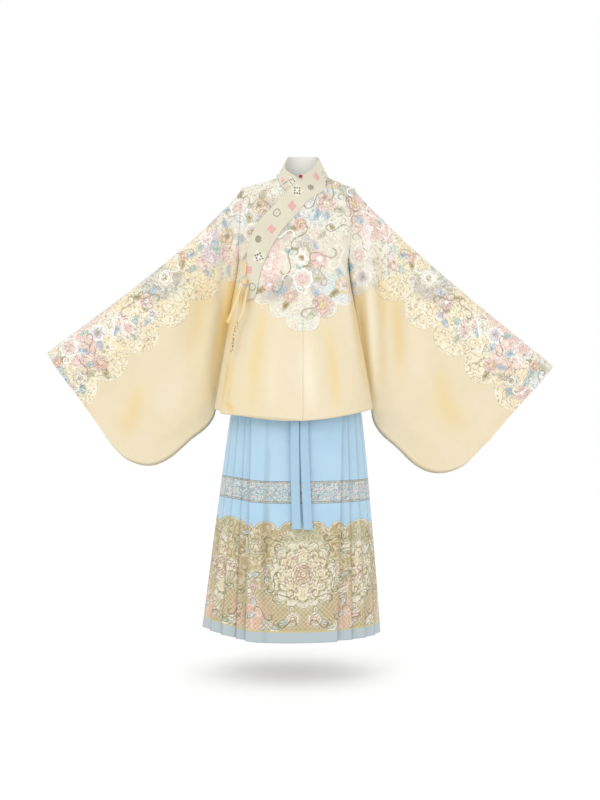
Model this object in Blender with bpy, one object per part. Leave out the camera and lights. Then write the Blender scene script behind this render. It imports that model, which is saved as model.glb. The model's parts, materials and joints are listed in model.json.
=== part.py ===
"""A two-piece robe: a wide-sleeved satin jacket over a pleated skirt with flat doors.

Metres, +Z up. The front faces -Y, and +X is the wearer's left. The origin is the middle of the
neck on the shoulder line. Each sheet of cloth is a surface worked out from the tables below and
given its thickness by a Solidify modifier.
"""

import math

import bmesh
import bpy
from mathutils import Vector

CLOTH = 0.0016  # thickness of the jacket's satin with its backing
SKIRT_CLOTH = 0.0014
SEAM = 0.0003  # gap between two pieces that are sewn together
LAYER = 0.0045  # how far one front lies outside the other

# The jacket's trunk, by height: its middle, its half width and its depth to the front and back.
TRUNK = (
    {"z": 0.020, "middle": -0.0135, "half": 0.1685, "front": 0.122, "back": 0.092},
    {"z": -0.215, "middle": -0.027, "half": 0.164, "front": 0.130, "back": 0.104},
    {"z": -0.400, "middle": -0.028, "half": 0.192, "front": 0.142, "back": 0.118},
    {"z": -0.690, "middle": -0.028, "half": 0.240, "front": 0.190, "back": 0.172},
)
FLAT_SHOULDER = 1.0  # how gently the trunk falls away to the armhole at the shoulder, 0.5 is round
SHOULDER_ROUND = 0.130  # height over which the trunk rounds over to its full depth
SHOULDER_CURVE = 0.85  # how the shoulder line falls: at 1 it is straight
NECK_HALF = 0.074
NECK_TOP = 0.028  # height of the shoulder line beside the neck
NECK_DIP_FRONT = 0.075
NECK_DIP_BACK = 0.012
SHOULDER_END = -0.004  # height of the shoulder line at the armhole
ARMPIT = -0.215
ARM_HALF_DEPTH = 0.052  # half depth of the armhole
HEM_MIDDLE = -0.687
HEM_SIDE = -0.654  # the hem is cut in a shallow curve, higher at the sides
HEM_CURVE = 1.7
PANEL_ROWS = 13
PANEL_CROWDING = 1.6  # how far the rows of faces crowd towards the shoulder
UNDER_FROM, UNDER_OVER = -0.050, 0.035  # where the under front starts to go inside, and over what width
OUTER_OVER = 0.040  # over this width the outer front comes out from its seam

# The edge of the outer front, from the neck down to the hem at the wearer's right side.
OVERLAP_EDGE = (
    {"share": 0.00, "x": -0.046, "z": -0.032},
    {"share": 0.10, "x": -0.107, "z": -0.099},
    {"share": 0.22, "x": -0.146, "z": -0.160},
    {"share": 0.34, "x": -0.162, "z": -0.225},
    {"share": 0.46, "x": -0.174, "z": -0.310},
    {"share": 0.60, "x": -0.195, "z": -0.400},
    {"share": 1.00, "x": -0.238, "z": -0.668},
)
OVERLAP_CROWDING_DOWN = 1.4
OVERLAP_CROWDING_ACROSS = 1.3
UNDER_REACH = 0.045  # how far the under front passes the middle

# The collar band is one strip. It stands round the neck from its under end at the wearer's right,
# crosses over at the front and runs down the outer front to the tie. Its upper edge is the one
# beside the neck, and its lower edge is the one sewn to the neck's edge and the outer front.
BAND_FRONT = (
    {"upper_x": 0.0465, "upper_z": 0.082, "lower_x": 0.0735, "lower_z": 0.0320, "out": 0.0000},
    {"upper_x": 0.0290, "upper_z": 0.047, "lower_x": 0.0680, "lower_z": 0.0035, "out": 0.0022},
    {"upper_x": 0.0080, "upper_z": 0.029, "lower_x": 0.0520, "lower_z": -0.0190, "out": 0.0036},
    {"upper_x": -0.0090, "upper_z": 0.017, "lower_x": 0.0300, "lower_z": -0.0420, "out": 0.0056},
    {"upper_x": -0.0320, "upper_z": -0.012, "lower_x": 0.0080, "lower_z": -0.0640, "out": 0.0060},
    {"upper_x": -0.0600, "upper_z": -0.044, "lower_x": -0.0170, "lower_z": -0.0970, "out": 0.0056},
    {"upper_x": -0.0950, "upper_z": -0.083, "lower_x": -0.0460, "lower_z": -0.1280, "out": 0.0044},
    {"upper_x": -0.1237, "upper_z": -0.112, "lower_x": -0.0680, "lower_z": -0.1560, "out": 0.0042},
    {"upper_x": -0.1450, "upper_z": -0.150, "lower_x": -0.0880, "lower_z": -0.1880, "out": 0.0056},
    {"upper_x": -0.1590, "upper_z": -0.195, "lower_x": -0.1050, "lower_z": -0.2220, "out": 0.0062},
    {"upper_x": -0.1680, "upper_z": -0.250, "lower_x": -0.1220, "lower_z": -0.2640, "out": 0.0056},
    {"upper_x": -0.1740, "upper_z": -0.310, "lower_x": -0.1340, "lower_z": -0.3200, "out": 0.0042},
    {"upper_x": -0.1730, "upper_z": -0.345, "lower_x": -0.1400, "lower_z": -0.3360, "out": 0.0042},
)
BAND_FRONT_COLUMNS = 23
BAND_CLEAR = 0.0040  # how far its sewn edge lies off the cloth below
BAND_SETTLED = 0.6  # share of its width by which it has come out to its full distance
STAND_BLEND = 1.6  # rows of the table over which the stand turns into the front stretch
NECK_SOFT = 0.004  # how softly the front stretch turns from the trunk to the neck
STAND_COLUMNS = 17
STAND_LIFT = 0.0040  # its lower edge clears the neck's edge by this much
STAND_START = -172.0  # degrees round the neck from the back's middle to its under end
STAND_SIDE = 90.0  # and to the wearer's left side, where it turns into the front stretch

# The neck that the stand follows, by height: half width, and reach to the front and the back.
NECK = (
    {"z": -0.047, "half": 0.098, "front": 0.1070, "back": 0.046},
    {"z": -0.006, "half": 0.083, "front": 0.0830, "back": 0.046},
    {"z": 0.028, "half": 0.074, "front": 0.0700, "back": 0.045},
    {"z": 0.080, "half": 0.048, "front": 0.0510, "back": 0.046},
    {"z": 0.098, "half": 0.0465, "front": 0.0460, "back": 0.046},
)

# The stand's upper edge, by degrees round the neck from the back's middle.
STAND_TOP = (
    {"turn": 0.0, "z": 0.0985},
    {"turn": 60.0, "z": 0.0930},
    {"turn": 90.0, "z": 0.0820},
    {"turn": 125.0, "z": 0.0500},
    {"turn": 172.0, "z": 0.0140},
)
KNOT_RADIUS = 0.0050
KNOT_PLACE = (-0.0075, 0.0175)
KNOT_FORM = (1.3, 0.8, 0.7)
KNOT_OUT = 0.0056 + 0.5 * CLOTH + 1.2 * KNOT_RADIUS  # just clear of the band
KNOT_TURN = 38.0

# Each sleeve's lower seam, from the armpit down beside the trunk and round the bag to the cuff.
SLEEVE_LEFT = (
    {"share": 0.00, "x": 0.143, "z": -0.215},
    {"share": 0.10, "x": 0.166, "z": -0.350},
    {"share": 0.20, "x": 0.190, "z": -0.540},
    {"share": 0.30, "x": 0.209, "z": -0.686},
    {"share": 0.42, "x": 0.278, "z": -0.764},
    {"share": 0.56, "x": 0.343, "z": -0.822},
    {"share": 0.70, "x": 0.404, "z": -0.839},
    {"share": 0.84, "x": 0.470, "z": -0.820},
    {"share": 0.93, "x": 0.517, "z": -0.777},
    {"share": 1.00, "x": 0.556, "z": -0.739},
)
SLEEVE_RIGHT = (
    {"share": 0.00, "x": -0.197, "z": -0.215},
    {"share": 0.10, "x": -0.222, "z": -0.350},
    {"share": 0.20, "x": -0.246, "z": -0.530},
    {"share": 0.30, "x": -0.264, "z": -0.672},
    {"share": 0.42, "x": -0.333, "z": -0.741},
    {"share": 0.56, "x": -0.396, "z": -0.795},
    {"share": 0.70, "x": -0.452, "z": -0.817},
    {"share": 0.84, "x": -0.515, "z": -0.802},
    {"share": 0.93, "x": -0.553, "z": -0.771},
    {"share": 1.00, "x": -0.580, "z": -0.738},
)
CUFF_TIP_LEFT = (0.735, -0.526)
CUFF_TIP_RIGHT = (-0.752, -0.487)
SLEEVE_BESIDE = 0.24  # share of the seam that runs close beside the trunk
SLEEVE_CLEAR = 0.0005  # how far it then lies outside the trunk's widest line
CLEAR_SHARE = 0.14  # share of the sleeve's length over which it gets there
SWING_SHARE = 0.08  # and over which it then swings away from the trunk
ARMPIT_CLEAR = 0.0060
SLEEVE_BACK = 0.036  # how far behind the trunk's widest line it lies there
BACK_FROM = 0.3  # share of the way down at which it starts to lie back
BESIDE_FROM = 0.10  # share of the length by which it lies fully back
FITTED_SHARE = 0.16  # share of the length over which it opens into the armhole
SAG_TOWARDS_ROOT = 0.62  # under 1, a ridge sinks most nearer the shoulder
RIDGE_SAG_LEFT = 0.025  # how far the ridge of a sleeve sinks below a straight line
RIDGE_SAG_RIGHT = 0.031
ARM_ROUND = 0.046  # half depth of a sleeve along the arm
BAG_HALF = 0.016  # half depth of the hanging bag below the arm
ARMHOLE_GAP = 0.5 * CLOTH + 0.0016
FLAT_GAP = 0.0012  # half the space left inside where a sleeve hangs flat
CUFF_OPEN = 0.58  # share of the cuff's edge left open for the hand
CUFF_FADE = 0.12
CUFF_FROM = 0.90  # share of the length at which the cuff begins
RIDGE_SHARE = 0.16  # share of the way down over which the sleeve rounds over the arm
BAG_SHARE = 0.42  # and over which it then thins to the hanging bag
BAG_FLATNESS = 6
SLEEVE_CROWDING_DOWN = 1.2
SLEEVE_CROWDING_ALONG = 1.15
SLEEVE_STATIONS = 16
SLEEVE_STEPS = 10

# The skirt, by height: its middle and its half width and depth.
SKIRT = (
    {"z": -0.352, "middle": -0.020, "half": 0.138, "deep": 0.100},
    {"z": -0.500, "middle": -0.020, "half": 0.160, "deep": 0.118},
    {"z": -0.670, "middle": -0.020, "half": 0.192, "deep": 0.146},
    {"z": -1.000, "middle": -0.027, "half": 0.230, "deep": 0.176},
    {"z": -1.307, "middle": -0.036, "half": 0.264, "deep": 0.202},
)
SKIRT_TOP = -0.352
SKIRT_HEM = -1.307
HIP_LIFT = 0.018  # how much higher the right sheet's hem rides at the hip
HIP_FROM = 0.35  # sine of the angle from the front at which the lift starts
SKIRT_ROWS = 8
DOOR_FOLD = 0.124  # from the middle to the outer door's folded edge
DOOR_FREE = 0.128  # and to its free edge
UNDER_FOLD = 0.120  # the door below: its folded edge
UNDER_FREE = 0.078  # and its free edge, short of the other sheet's pleats
DOOR_LAYER = 0.006
UNDER_LAYER = -0.002
PLEAT_DEPTH_TOP = 0.006
PLEAT_DEPTH_HEM = 0.015
FOLD_ROUND = 0.0042  # radial height of a pleat's folded edge
TUCK = 0.50  # how far a pleat goes back under the one before, as a share of its width

# Where the folded edges lie between the door and the side, at the waist and at the hem.
PLEATS_RIGHT = (
    {"top": 0.20, "hem": 0.120},
    {"top": 0.42, "hem": 0.320},
    {"top": 0.66, "hem": 0.530},
    {"top": 0.90, "hem": 0.790},
)
PLEATS_LEFT = (
    {"top": 0.22, "hem": 0.230},
    {"top": 0.45, "hem": 0.430},
    {"top": 0.68, "hem": 0.650},
    {"top": 0.90, "hem": 0.870},
)
WAISTBAND_HEIGHT = 0.062
WAISTBAND_CLOTH = 0.0030
WAISTBAND_STEPS = 28

# The two skirt ribbons that hang at the front, by height.
RIBBON_WIDTH = 0.025
RIBBONS = {
    "skirt_ribbon_right": (
        {"z": -0.330, "x": -0.014},
        {"z": -0.690, "x": -0.0235},
        {"z": -0.850, "x": -0.0225},
        {"z": -0.990, "x": -0.0190},
    ),
    "skirt_ribbon_left": (
        {"z": -0.330, "x": 0.014},
        {"z": -0.690, "x": 0.0025},
        {"z": -0.850, "x": 0.0070},
        {"z": -0.992, "x": 0.0140},
    ),
}
RIBBON_CLEAR = 0.012  # in front of the door

# The side tie: a bow with one hanging loop and two tails, each a strip by its middle line.
TIE_WIDTH = 0.015
TIE_CLOTH = 0.0016
TIE_FACES = Vector((-0.6, -0.8, 0.0))  # the way its strips face
TIE_KNOT_PLACE = (-0.168, -0.289)
TIE_KNOT_OUT = 0.017  # how far its middle stands out from the trunk
TIE_KNOT_SIZE = (0.024, 0.012, 0.016)
TIE_KNOT_ROUND = 0.004
TIE_KNOT_TURN = -0.9
TIE_STRIPS = {
    "side_tie_strap": (
        {"x": -0.166, "z": -0.232, "out": 0.013},
        {"x": -0.167, "z": -0.252, "out": 0.012},
        {"x": -0.168, "z": -0.272, "out": 0.014},
    ),
    "side_tie_loop": (
        {"x": -0.166, "z": -0.305, "out": 0.013},
        {"x": -0.169, "z": -0.332, "out": 0.013},
        {"x": -0.177, "z": -0.352, "out": 0.016},
        {"x": -0.180, "z": -0.338, "out": 0.020},
        {"x": -0.174, "z": -0.305, "out": 0.019},
    ),
    "side_tie_tail_long": (
        {"x": -0.176, "z": -0.302, "out": 0.028},
        {"x": -0.190, "z": -0.340, "out": 0.030},
        {"x": -0.203, "z": -0.376, "out": 0.031},
        {"x": -0.217, "z": -0.406, "out": 0.032},
    ),
    "side_tie_tail_figured": (
        {"x": -0.158, "z": -0.304, "out": 0.017},
        {"x": -0.172, "z": -0.372, "out": 0.027},
        {"x": -0.187, "z": -0.408, "out": 0.026},
        {"x": -0.196, "z": -0.440, "out": 0.026},
        {"x": -0.204, "z": -0.492, "out": 0.027},
    ),
}

# Colours in linear light.
GOLD = (0.80, 0.68, 0.44, 1.0)
CREAM = (0.70, 0.65, 0.50, 1.0)
RED = (0.35, 0.02, 0.03, 1.0)
TIE_GOLD = (0.82, 0.62, 0.32, 1.0)
BLUE = (0.44, 0.62, 0.78, 1.0)
RIBBON_BLUE = (0.40, 0.58, 0.74, 1.0)


def clear_scene():
    for obj in list(bpy.data.objects):
        bpy.data.objects.remove(obj, do_unlink=True)


def clamp(value, low=0.0, high=1.0):
    return max(low, min(high, value))


def ease(share):
    share = clamp(share)
    return share * share * (3.0 - 2.0 * share)


def mix(start, end, share):
    return start + (end - start) * share


def steps(count, start=0.0, end=1.0):
    """Evenly spaced values from start to end."""
    return [mix(start, end, i / (count - 1)) for i in range(count)]


def read(table, by, column, at):
    """The column's value at a place along the table, smoothly between its rows."""
    rows = sorted(table, key=lambda row: row[by])
    at = clamp(at, rows[0][by], rows[-1][by])
    i = 0
    while i < len(rows) - 2 and at > rows[i + 1][by]:
        i += 1
    a, b = rows[i], rows[i + 1]
    gap = b[by] - a[by]
    slope = (b[column] - a[column]) / gap
    before = rows[i - 1] if i > 0 else None
    after = rows[i + 2] if i + 2 < len(rows) else None
    start = slope if before is None else (b[column] - before[column]) / (b[by] - before[by])
    end = slope if after is None else (after[column] - a[column]) / (after[by] - a[by])
    t = (at - a[by]) / gap
    return (
        (2 * t**3 - 3 * t**2 + 1) * a[column]
        + (t**3 - 2 * t**2 + t) * gap * start
        + (3 * t**2 - 2 * t**3) * b[column]
        + (t**3 - t**2) * gap * end
    )


# --- the trunk's surface -------------------------------------------------------------------------


def shoulder_line(x):
    """Height of the shoulder line at x, level over the neck and falling to the armhole."""
    middle = read(TRUNK, "z", "middle", 0.0)
    reach = read(TRUNK, "z", "half", 0.0)
    inner = NECK_HALF if x > 0 else -NECK_HALF
    end = middle + (reach if x > 0 else -reach)
    share = clamp((x - inner) / (end - inner))
    return mix(NECK_TOP, SHOULDER_END, share**SHOULDER_CURVE)


def neck_line(x, dip):
    """Height of the neck's edge at x."""
    return NECK_TOP - dip * math.sqrt(max(0.0, 1.0 - (x / NECK_HALF) ** 2))


def arm_half(z):
    """Half depth of the armhole at height z, nothing at the shoulder and the armpit."""
    middle = 0.5 * (SHOULDER_END + ARMPIT)
    reach = 0.5 * (SHOULDER_END - ARMPIT)
    return ARM_HALF_DEPTH * math.sqrt(max(0.0, 1.0 - ((z - middle) / reach) ** 2))


def trunk_point(x, z, side, out=0.0):
    """The point of the trunk at x and z on its front (side -1) or back (side 1)."""
    half = read(TRUNK, "z", "half", z) + out
    across = clamp((x - read(TRUNK, "z", "middle", z)) / half, -1.0, 1.0)
    full = read(TRUNK, "z", "front" if side < 0 else "back", z)
    below = clamp((shoulder_line(x) + out - z) / (SHOULDER_ROUND + out))
    round_over = math.sqrt(max(0.0, 1.0 - (1.0 - below) ** 2))
    edge = arm_half(z) if z > ARMPIT else 0.0
    power = mix(FLAT_SHOULDER, 0.5, ease((SHOULDER_END - z) / (SHOULDER_END - ARMPIT)))
    bulge = (1.0 - across**2) ** power
    depth = edge + (full * round_over - edge) * bulge
    return Vector((x, side * (max(depth, edge * bulge) + out), z))


def trunk_edge(z, hand):
    """x of the trunk's side at height z, on the wearer's left (1) or right (-1)."""
    return read(TRUNK, "z", "middle", z) + hand * read(TRUNK, "z", "half", z)


def hem_line(share):
    """Height of the jacket's hem, by the share of the half width from the middle."""
    return mix(HEM_MIDDLE, HEM_SIDE, abs(share) ** HEM_CURVE)


def panel_rows(side, hand, reach, layer):
    """Half of the trunk's front or back, from its side to x = reach, by rows from the top down."""
    neck_dip = NECK_DIP_FRONT if side < 0 else NECK_DIP_BACK
    middle, edge = read(TRUNK, "z", "middle", 0.0), trunk_edge(0.0, hand)
    over_shoulder = steps(5, edge, hand * NECK_HALF)
    over_neck = [mix(hand * NECK_HALF, reach, math.sin(0.5 * math.pi * t)) for t in steps(6)]
    rows = []
    for v in steps(PANEL_ROWS):
        row = []
        for start in over_shoulder[:-1] + over_neck:
            beside_neck = hand * start >= NECK_HALF
            top = shoulder_line(start) if beside_neck else neck_line(start, neck_dip)
            z = mix(top, hem_line((start - middle) / (edge - middle)), v**PANEL_CROWDING)
            spread = trunk_edge(z, hand) - trunk_edge(top, hand)
            x = start + spread * (start - reach) / (edge - reach)
            row.append(trunk_point(x, z, side, layer(x, z)))
        rows.append(row)
    return rows


# --- meshes --------------------------------------------------------------------------------------


def material(name, colour, roughness):
    made = bpy.data.materials.new(name)
    made.use_nodes = True
    shader = made.node_tree.nodes["Principled BSDF"]
    shader.inputs["Base Color"].default_value = colour
    shader.inputs["Roughness"].default_value = roughness
    return made


def add_patch(mesh, rows, loop=False):
    """Adds a grid of four-sided faces; with loop, each row closes on itself."""
    grid = [[mesh.verts.new(point) for point in row] for row in rows]
    width = len(rows[0])
    for upper, lower in zip(grid, grid[1:]):
        for i in range(width if loop else width - 1):
            j = (i + 1) % width
            mesh.faces.new((upper[i], upper[j], lower[j], lower[i]))


def cloth(name, patches, thickness, dressing, loop=False, outward=None):
    """One piece of cloth: its patches welded into a sheet, then thickened both ways."""
    mesh = bmesh.new()
    for rows in patches:
        add_patch(mesh, rows, loop)
    bmesh.ops.remove_doubles(mesh, verts=mesh.verts, dist=1e-6)
    bmesh.ops.recalc_face_normals(mesh, faces=mesh.faces)
    if outward is not None:
        face = max(mesh.faces, key=lambda f: f.calc_center_median().dot(outward))
        if face.normal.dot(outward) < 0.0:
            bmesh.ops.reverse_faces(mesh, faces=mesh.faces)
    data = bpy.data.meshes.new(name)
    mesh.to_mesh(data)
    mesh.free()
    data.shade_smooth()
    data.materials.append(dressing)
    obj = bpy.data.objects.new(name, data)
    bpy.context.collection.objects.link(obj)
    solid = obj.modifiers.new("thickness", "SOLIDIFY")
    solid.thickness = thickness
    solid.offset = 0.0
    solid.use_even_offset = True
    solid.thickness_clamp = 0.0
    return obj


# --- the jacket ----------------------------------------------------------------------------------


def no_layer(x, z):
    return 0.0


def under_layer(x, z):
    """The wearer's right front passes inside the left one near and beyond the middle."""
    return -LAYER * ease((x - UNDER_FROM) / UNDER_OVER)


def outer_layer(x, z):
    """The outer front lies on the layer of its own seam at the middle, and outside beyond it."""
    return LAYER * ease(-x / OUTER_OVER)


def make_body(name, hand, dressing):
    """Front and back of one side, cut in one over the shoulder with no seam there."""
    if hand > 0:
        front = panel_rows(-1, hand, SEAM, no_layer)
    else:
        front = panel_rows(-1, hand, UNDER_REACH, under_layer)
    back = panel_rows(1, hand, hand * SEAM, no_layer)
    return cloth(name, (front, back), CLOTH, dressing, outward=Vector((0, -1, 0)))


def make_overlap(name, dressing):
    """The outer front, from its seam at the middle to its edge at the wearer's right."""
    rows = []
    for v in [share**OVERLAP_CROWDING_DOWN for share in steps(PANEL_ROWS)]:
        left_x = read(OVERLAP_EDGE, "share", "x", v)
        left_z = read(OVERLAP_EDGE, "share", "z", v)
        right_z = mix(neck_line(0.0, NECK_DIP_FRONT), HEM_MIDDLE, v)
        row = []
        for u in [share**OVERLAP_CROWDING_ACROSS for share in steps(9)]:
            x = mix(left_x, -SEAM, u)
            z = mix(left_z, right_z, u)
            if v == 0.0:
                z = neck_line(x, NECK_DIP_FRONT)
            row.append(trunk_point(x, z, -1, outer_layer(x, z)))
        rows.append(row)
    return cloth(name, (rows,), CLOTH, dressing, outward=Vector((0, -1, 0)))


def neck_point(turn, z, out=0.0):
    """A point of the neck's outside: turn is 0 at the back's middle and grows to the left."""
    reach = read(NECK, "z", "front" if math.cos(turn) < 0.0 else "back", z) + out
    half = read(NECK, "z", "half", z) + out
    return Vector((half * math.sin(turn), reach * math.cos(turn), z))


def stand_point(turn, share):
    """A point of the collar's stand, from the neck's edge up to its upper edge."""
    front = math.cos(turn) < 0.0
    x = NECK_HALF * math.sin(turn)
    dip = NECK_DIP_FRONT if front else NECK_DIP_BACK
    base = trunk_point(x, neck_line(x, dip), -1 if front else 1)
    base.z += STAND_LIFT
    top = neck_point(turn, read(STAND_TOP, "turn", "z", abs(math.degrees(turn))))
    middle = neck_point(turn, mix(base.z, top.z, share))
    return base.lerp(top, share).lerp(middle, share * (1.0 - share))


def front_point(x, z, out):
    """A point over the front that follows the trunk, and above the neck's edge the neck."""
    trunk = trunk_point(x, z, -1, out).y
    inside = 1.0 - (x / read(NECK, "z", "half", z)) ** 2
    neck = -read(NECK, "z", "front", z) * math.sqrt(max(0.0, inside)) - out
    if z < NECK[0]["z"]:
        return Vector((x, trunk, z))
    gap = math.sqrt((trunk - neck) ** 2 + NECK_SOFT**2)
    return Vector((x, 0.5 * (trunk + neck - gap + NECK_SOFT), z))


def make_collar_band(name, dressing):
    """The collar and the band down the outer front, in one strip."""
    columns = []
    for degrees in steps(STAND_COLUMNS, STAND_START, STAND_SIDE)[:-1]:
        columns.append([stand_point(math.radians(degrees), share) for share in steps(5)])
    at = [dict(row, place=i) for i, row in enumerate(BAND_FRONT)]
    for place in steps(BAND_FRONT_COLUMNS, 0, len(at) - 1):
        row = {key: read(at, "place", key, place) for key in BAND_FRONT[0]}
        column = []
        for share in steps(5):
            x = mix(row["lower_x"], row["upper_x"], share)
            z = mix(row["lower_z"], row["upper_z"], share)
            out = mix(min(row["out"], BAND_CLEAR), row["out"], ease(share / BAND_SETTLED))
            point = front_point(x, z, out + outer_layer(x, z))
            on_stand = stand_point(math.radians(STAND_SIDE), share)
            column.append(on_stand.lerp(point, ease(place / STAND_BLEND)))
        columns.append(column)
    return cloth(name, (columns,), CLOTH, dressing, outward=Vector((0, -1, 0)))


def make_knot(name, dressing):
    """The small knotted loop that closes the collar where its ends cross."""
    mesh = bmesh.new()
    bmesh.ops.create_icosphere(mesh, subdivisions=2, radius=KNOT_RADIUS)
    bmesh.ops.scale(mesh, vec=KNOT_FORM, verts=mesh.verts)
    data = bpy.data.meshes.new(name)
    mesh.to_mesh(data)
    mesh.free()
    data.shade_smooth()
    data.materials.append(dressing)
    obj = bpy.data.objects.new(name, data)
    obj.location = front_point(*KNOT_PLACE, KNOT_OUT)
    obj.rotation_euler = (0.0, -math.radians(KNOT_TURN), 0.0)
    bpy.context.collection.objects.link(obj)
    return obj


def bag_profile(down):
    """Half depth of a sleeve as a share of the arm's, from its ridge (0) to its lower seam (1)."""
    below = down - RIDGE_SHARE
    if below < 0.0:
        return math.sqrt(1.0 - (below / RIDGE_SHARE) ** 2)
    hang = mix(1.0, BAG_HALF / ARM_ROUND, ease(below / BAG_SHARE))
    return hang * math.sqrt(max(0.0, 1.0 - (below / (1.0 - RIDGE_SHARE)) ** BAG_FLATNESS))


def sleeve_form(hand, share, down, side):
    """The hanging form of a sleeve, from its ridge down, before it is fitted to the armhole."""
    seam = SLEEVE_LEFT if hand > 0 else SLEEVE_RIGHT
    tip = CUFF_TIP_LEFT if hand > 0 else CUFF_TIP_RIGHT
    low = Vector((read(seam, "share", "x", share), 0.0, read(seam, "share", "z", share)))
    clear = mix(ARMPIT_CLEAR, SLEEVE_CLEAR, ease(share / CLEAR_SHARE))
    beside = trunk_edge(low.z, hand) + hand * clear
    low.x = mix(beside, low.x, ease((share - SLEEVE_BESIDE) / SWING_SHARE))
    sag = (RIDGE_SAG_LEFT if hand > 0 else RIDGE_SAG_RIGHT) * math.sin(math.pi * share**SAG_TOWARDS_ROOT)
    root = trunk_edge(0.0, hand)
    ridge = Vector((mix(root, tip[0], share), 0.0, mix(SHOULDER_END, tip[1], share) - sag))
    point = ridge.lerp(low, down)
    closed = ease((down - CUFF_OPEN) / CUFF_FADE) * ease((share - CUFF_FROM) / (1.0 - CUFF_FROM))
    depth = mix(ARM_ROUND * bag_profile(down), FLAT_GAP, closed)
    if down > 0.5:
        depth = max(depth, FLAT_GAP)
    leaves = ease((share - SLEEVE_BESIDE) / (2.0 * SWING_SHARE))
    beside_trunk = ease(share / BESIDE_FROM) * (1.0 - leaves)
    point.y = side * depth + SLEEVE_BACK * beside_trunk * ease((down - BACK_FROM) / (1.0 - BACK_FROM))
    return point


def sleeve_point(hand, share, down, side):
    """The point of a sleeve at a share of its length; at 0 it meets the trunk's armhole."""
    z = mix(SHOULDER_END, ARMPIT, down)
    armhole = Vector((trunk_edge(z, hand) + hand * ARMHOLE_GAP, side * arm_half(z), z))
    fitted = armhole - sleeve_form(hand, 0.0, down, side)
    return sleeve_form(hand, share, down, side) + fitted * (1.0 - ease(share / FITTED_SHARE))


def make_sleeve(name, hand, dressing):
    """A sleeve: one sheet folded over the ridge and closed by the seam under it."""
    downs = [share**SLEEVE_CROWDING_DOWN for share in steps(SLEEVE_STEPS)]
    rows = []
    for share in [station**SLEEVE_CROWDING_ALONG for station in steps(SLEEVE_STATIONS)]:
        front = [sleeve_point(hand, share, down, -1) for down in reversed(downs)]
        back = [sleeve_point(hand, share, down, 1) for down in downs[1:-1]]
        rows.append(front + back)
    outward = Vector((0, -1, 0))
    return cloth(name, (rows,), CLOTH, dressing, loop=True, outward=outward)


def ribbon_rows(middle, width, faces):
    """A flat strip along a middle line: two edges for each of its points."""
    rows = []
    for i, point in enumerate(middle):
        ahead = middle[min(i + 1, len(middle) - 1)] - middle[max(i - 1, 0)]
        across = ahead.cross(faces).normalized() * 0.5 * width
        rows.append([point - across, point, point + across])
    return rows


def make_side_tie(dressing):
    """The bow at the wearer's right: its knot, its loop and its tails, over the band's end."""
    for name, table in TIE_STRIPS.items():
        at = [dict(row, place=i) for i, row in enumerate(table)]
        middle = []
        for place in steps(3 * (len(table) - 1) + 1, 0, len(table) - 1):
            values = [read(at, "place", key, place) for key in ("x", "z", "out")]
            middle.append(trunk_point(values[0], values[1], -1, values[2]))
        rows = ribbon_rows(middle, TIE_WIDTH, TIE_FACES)
        cloth(name, (rows,), TIE_CLOTH, dressing)
    mesh = bmesh.new()
    bmesh.ops.create_cube(mesh, size=1.0)
    bmesh.ops.scale(mesh, vec=TIE_KNOT_SIZE, verts=mesh.verts)
    bmesh.ops.bevel(mesh, geom=mesh.edges, offset=TIE_KNOT_ROUND, segments=2, affect="EDGES")
    data = bpy.data.meshes.new("side_tie_knot")
    mesh.to_mesh(data)
    mesh.free()
    data.shade_smooth()
    data.materials.append(dressing)
    knot = bpy.data.objects.new("side_tie_knot", data)
    knot.location = trunk_point(*TIE_KNOT_PLACE, -1, TIE_KNOT_OUT)
    knot.rotation_euler = (0.0, 0.0, TIE_KNOT_TURN)
    bpy.context.collection.objects.link(knot)


# --- the skirt -----------------------------------------------------------------------------------


def skirt_point(angle, z, out):
    """A point of the skirt: angle from the front's middle, growing to the wearer's left."""
    x = read(SKIRT, "z", "middle", z) + (read(SKIRT, "z", "half", z) + out) * math.sin(angle)
    y = -(read(SKIRT, "z", "deep", z) + out) * math.cos(angle)
    return Vector((x, y, z))


def door_angle(reach, z):
    return math.asin(clamp(reach / read(SKIRT, "z", "half", z)))


def skirt_section(pleats, z, start_reach, fold_reach, back_fold, back_end, front_out, back_out):
    """One half of the skirt at height z: door, pleats round the hip, door, as (angle, out).

    Angles grow from the front's middle round this half's hip to the back's middle.
    """
    fall = (SKIRT_TOP - z) / (SKIRT_TOP - SKIRT_HEM)
    deep = mix(PLEAT_DEPTH_TOP, PLEAT_DEPTH_HEM, fall)

    def quarter(fold_angle, door_out):
        """The folded edges from a door to the side: each goes under, back, and out again."""
        edges = [fold_angle]
        for row in pleats:
            share = mix(row["top"], row["hem"], fall)
            edges.append(mix(fold_angle, 0.5 * math.pi, share))
        outs = [door_out] + [0.0] * len(pleats)
        path = []
        for i, edge in enumerate(edges):
            width = edges[i + 1] - edge if i + 1 < len(edges) else 0.5 * math.pi - edge
            back = edge - TUCK * max(width, edge - edges[i - 1] if i else width)
            path.append((edge, outs[i]))
            path.append((edge, outs[i] - FOLD_ROUND))
            path.append((back, -deep + FOLD_ROUND))
            path.append((back, -deep))
        return path

    front = [(angle, front_out) for angle in steps(6, -door_angle(start_reach, z),
                                                   door_angle(fold_reach, z))[:-1]]
    back = [(angle, back_out) for angle in steps(6, -door_angle(back_end, z),
                                                 door_angle(back_fold, z))[:-1]]
    there = quarter(door_angle(fold_reach, z), front_out)
    again = quarter(door_angle(back_fold, z), back_out)
    round_back = [(math.pi - angle, out) for angle, out in reversed(back + again)]
    return front + there + round_back


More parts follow.
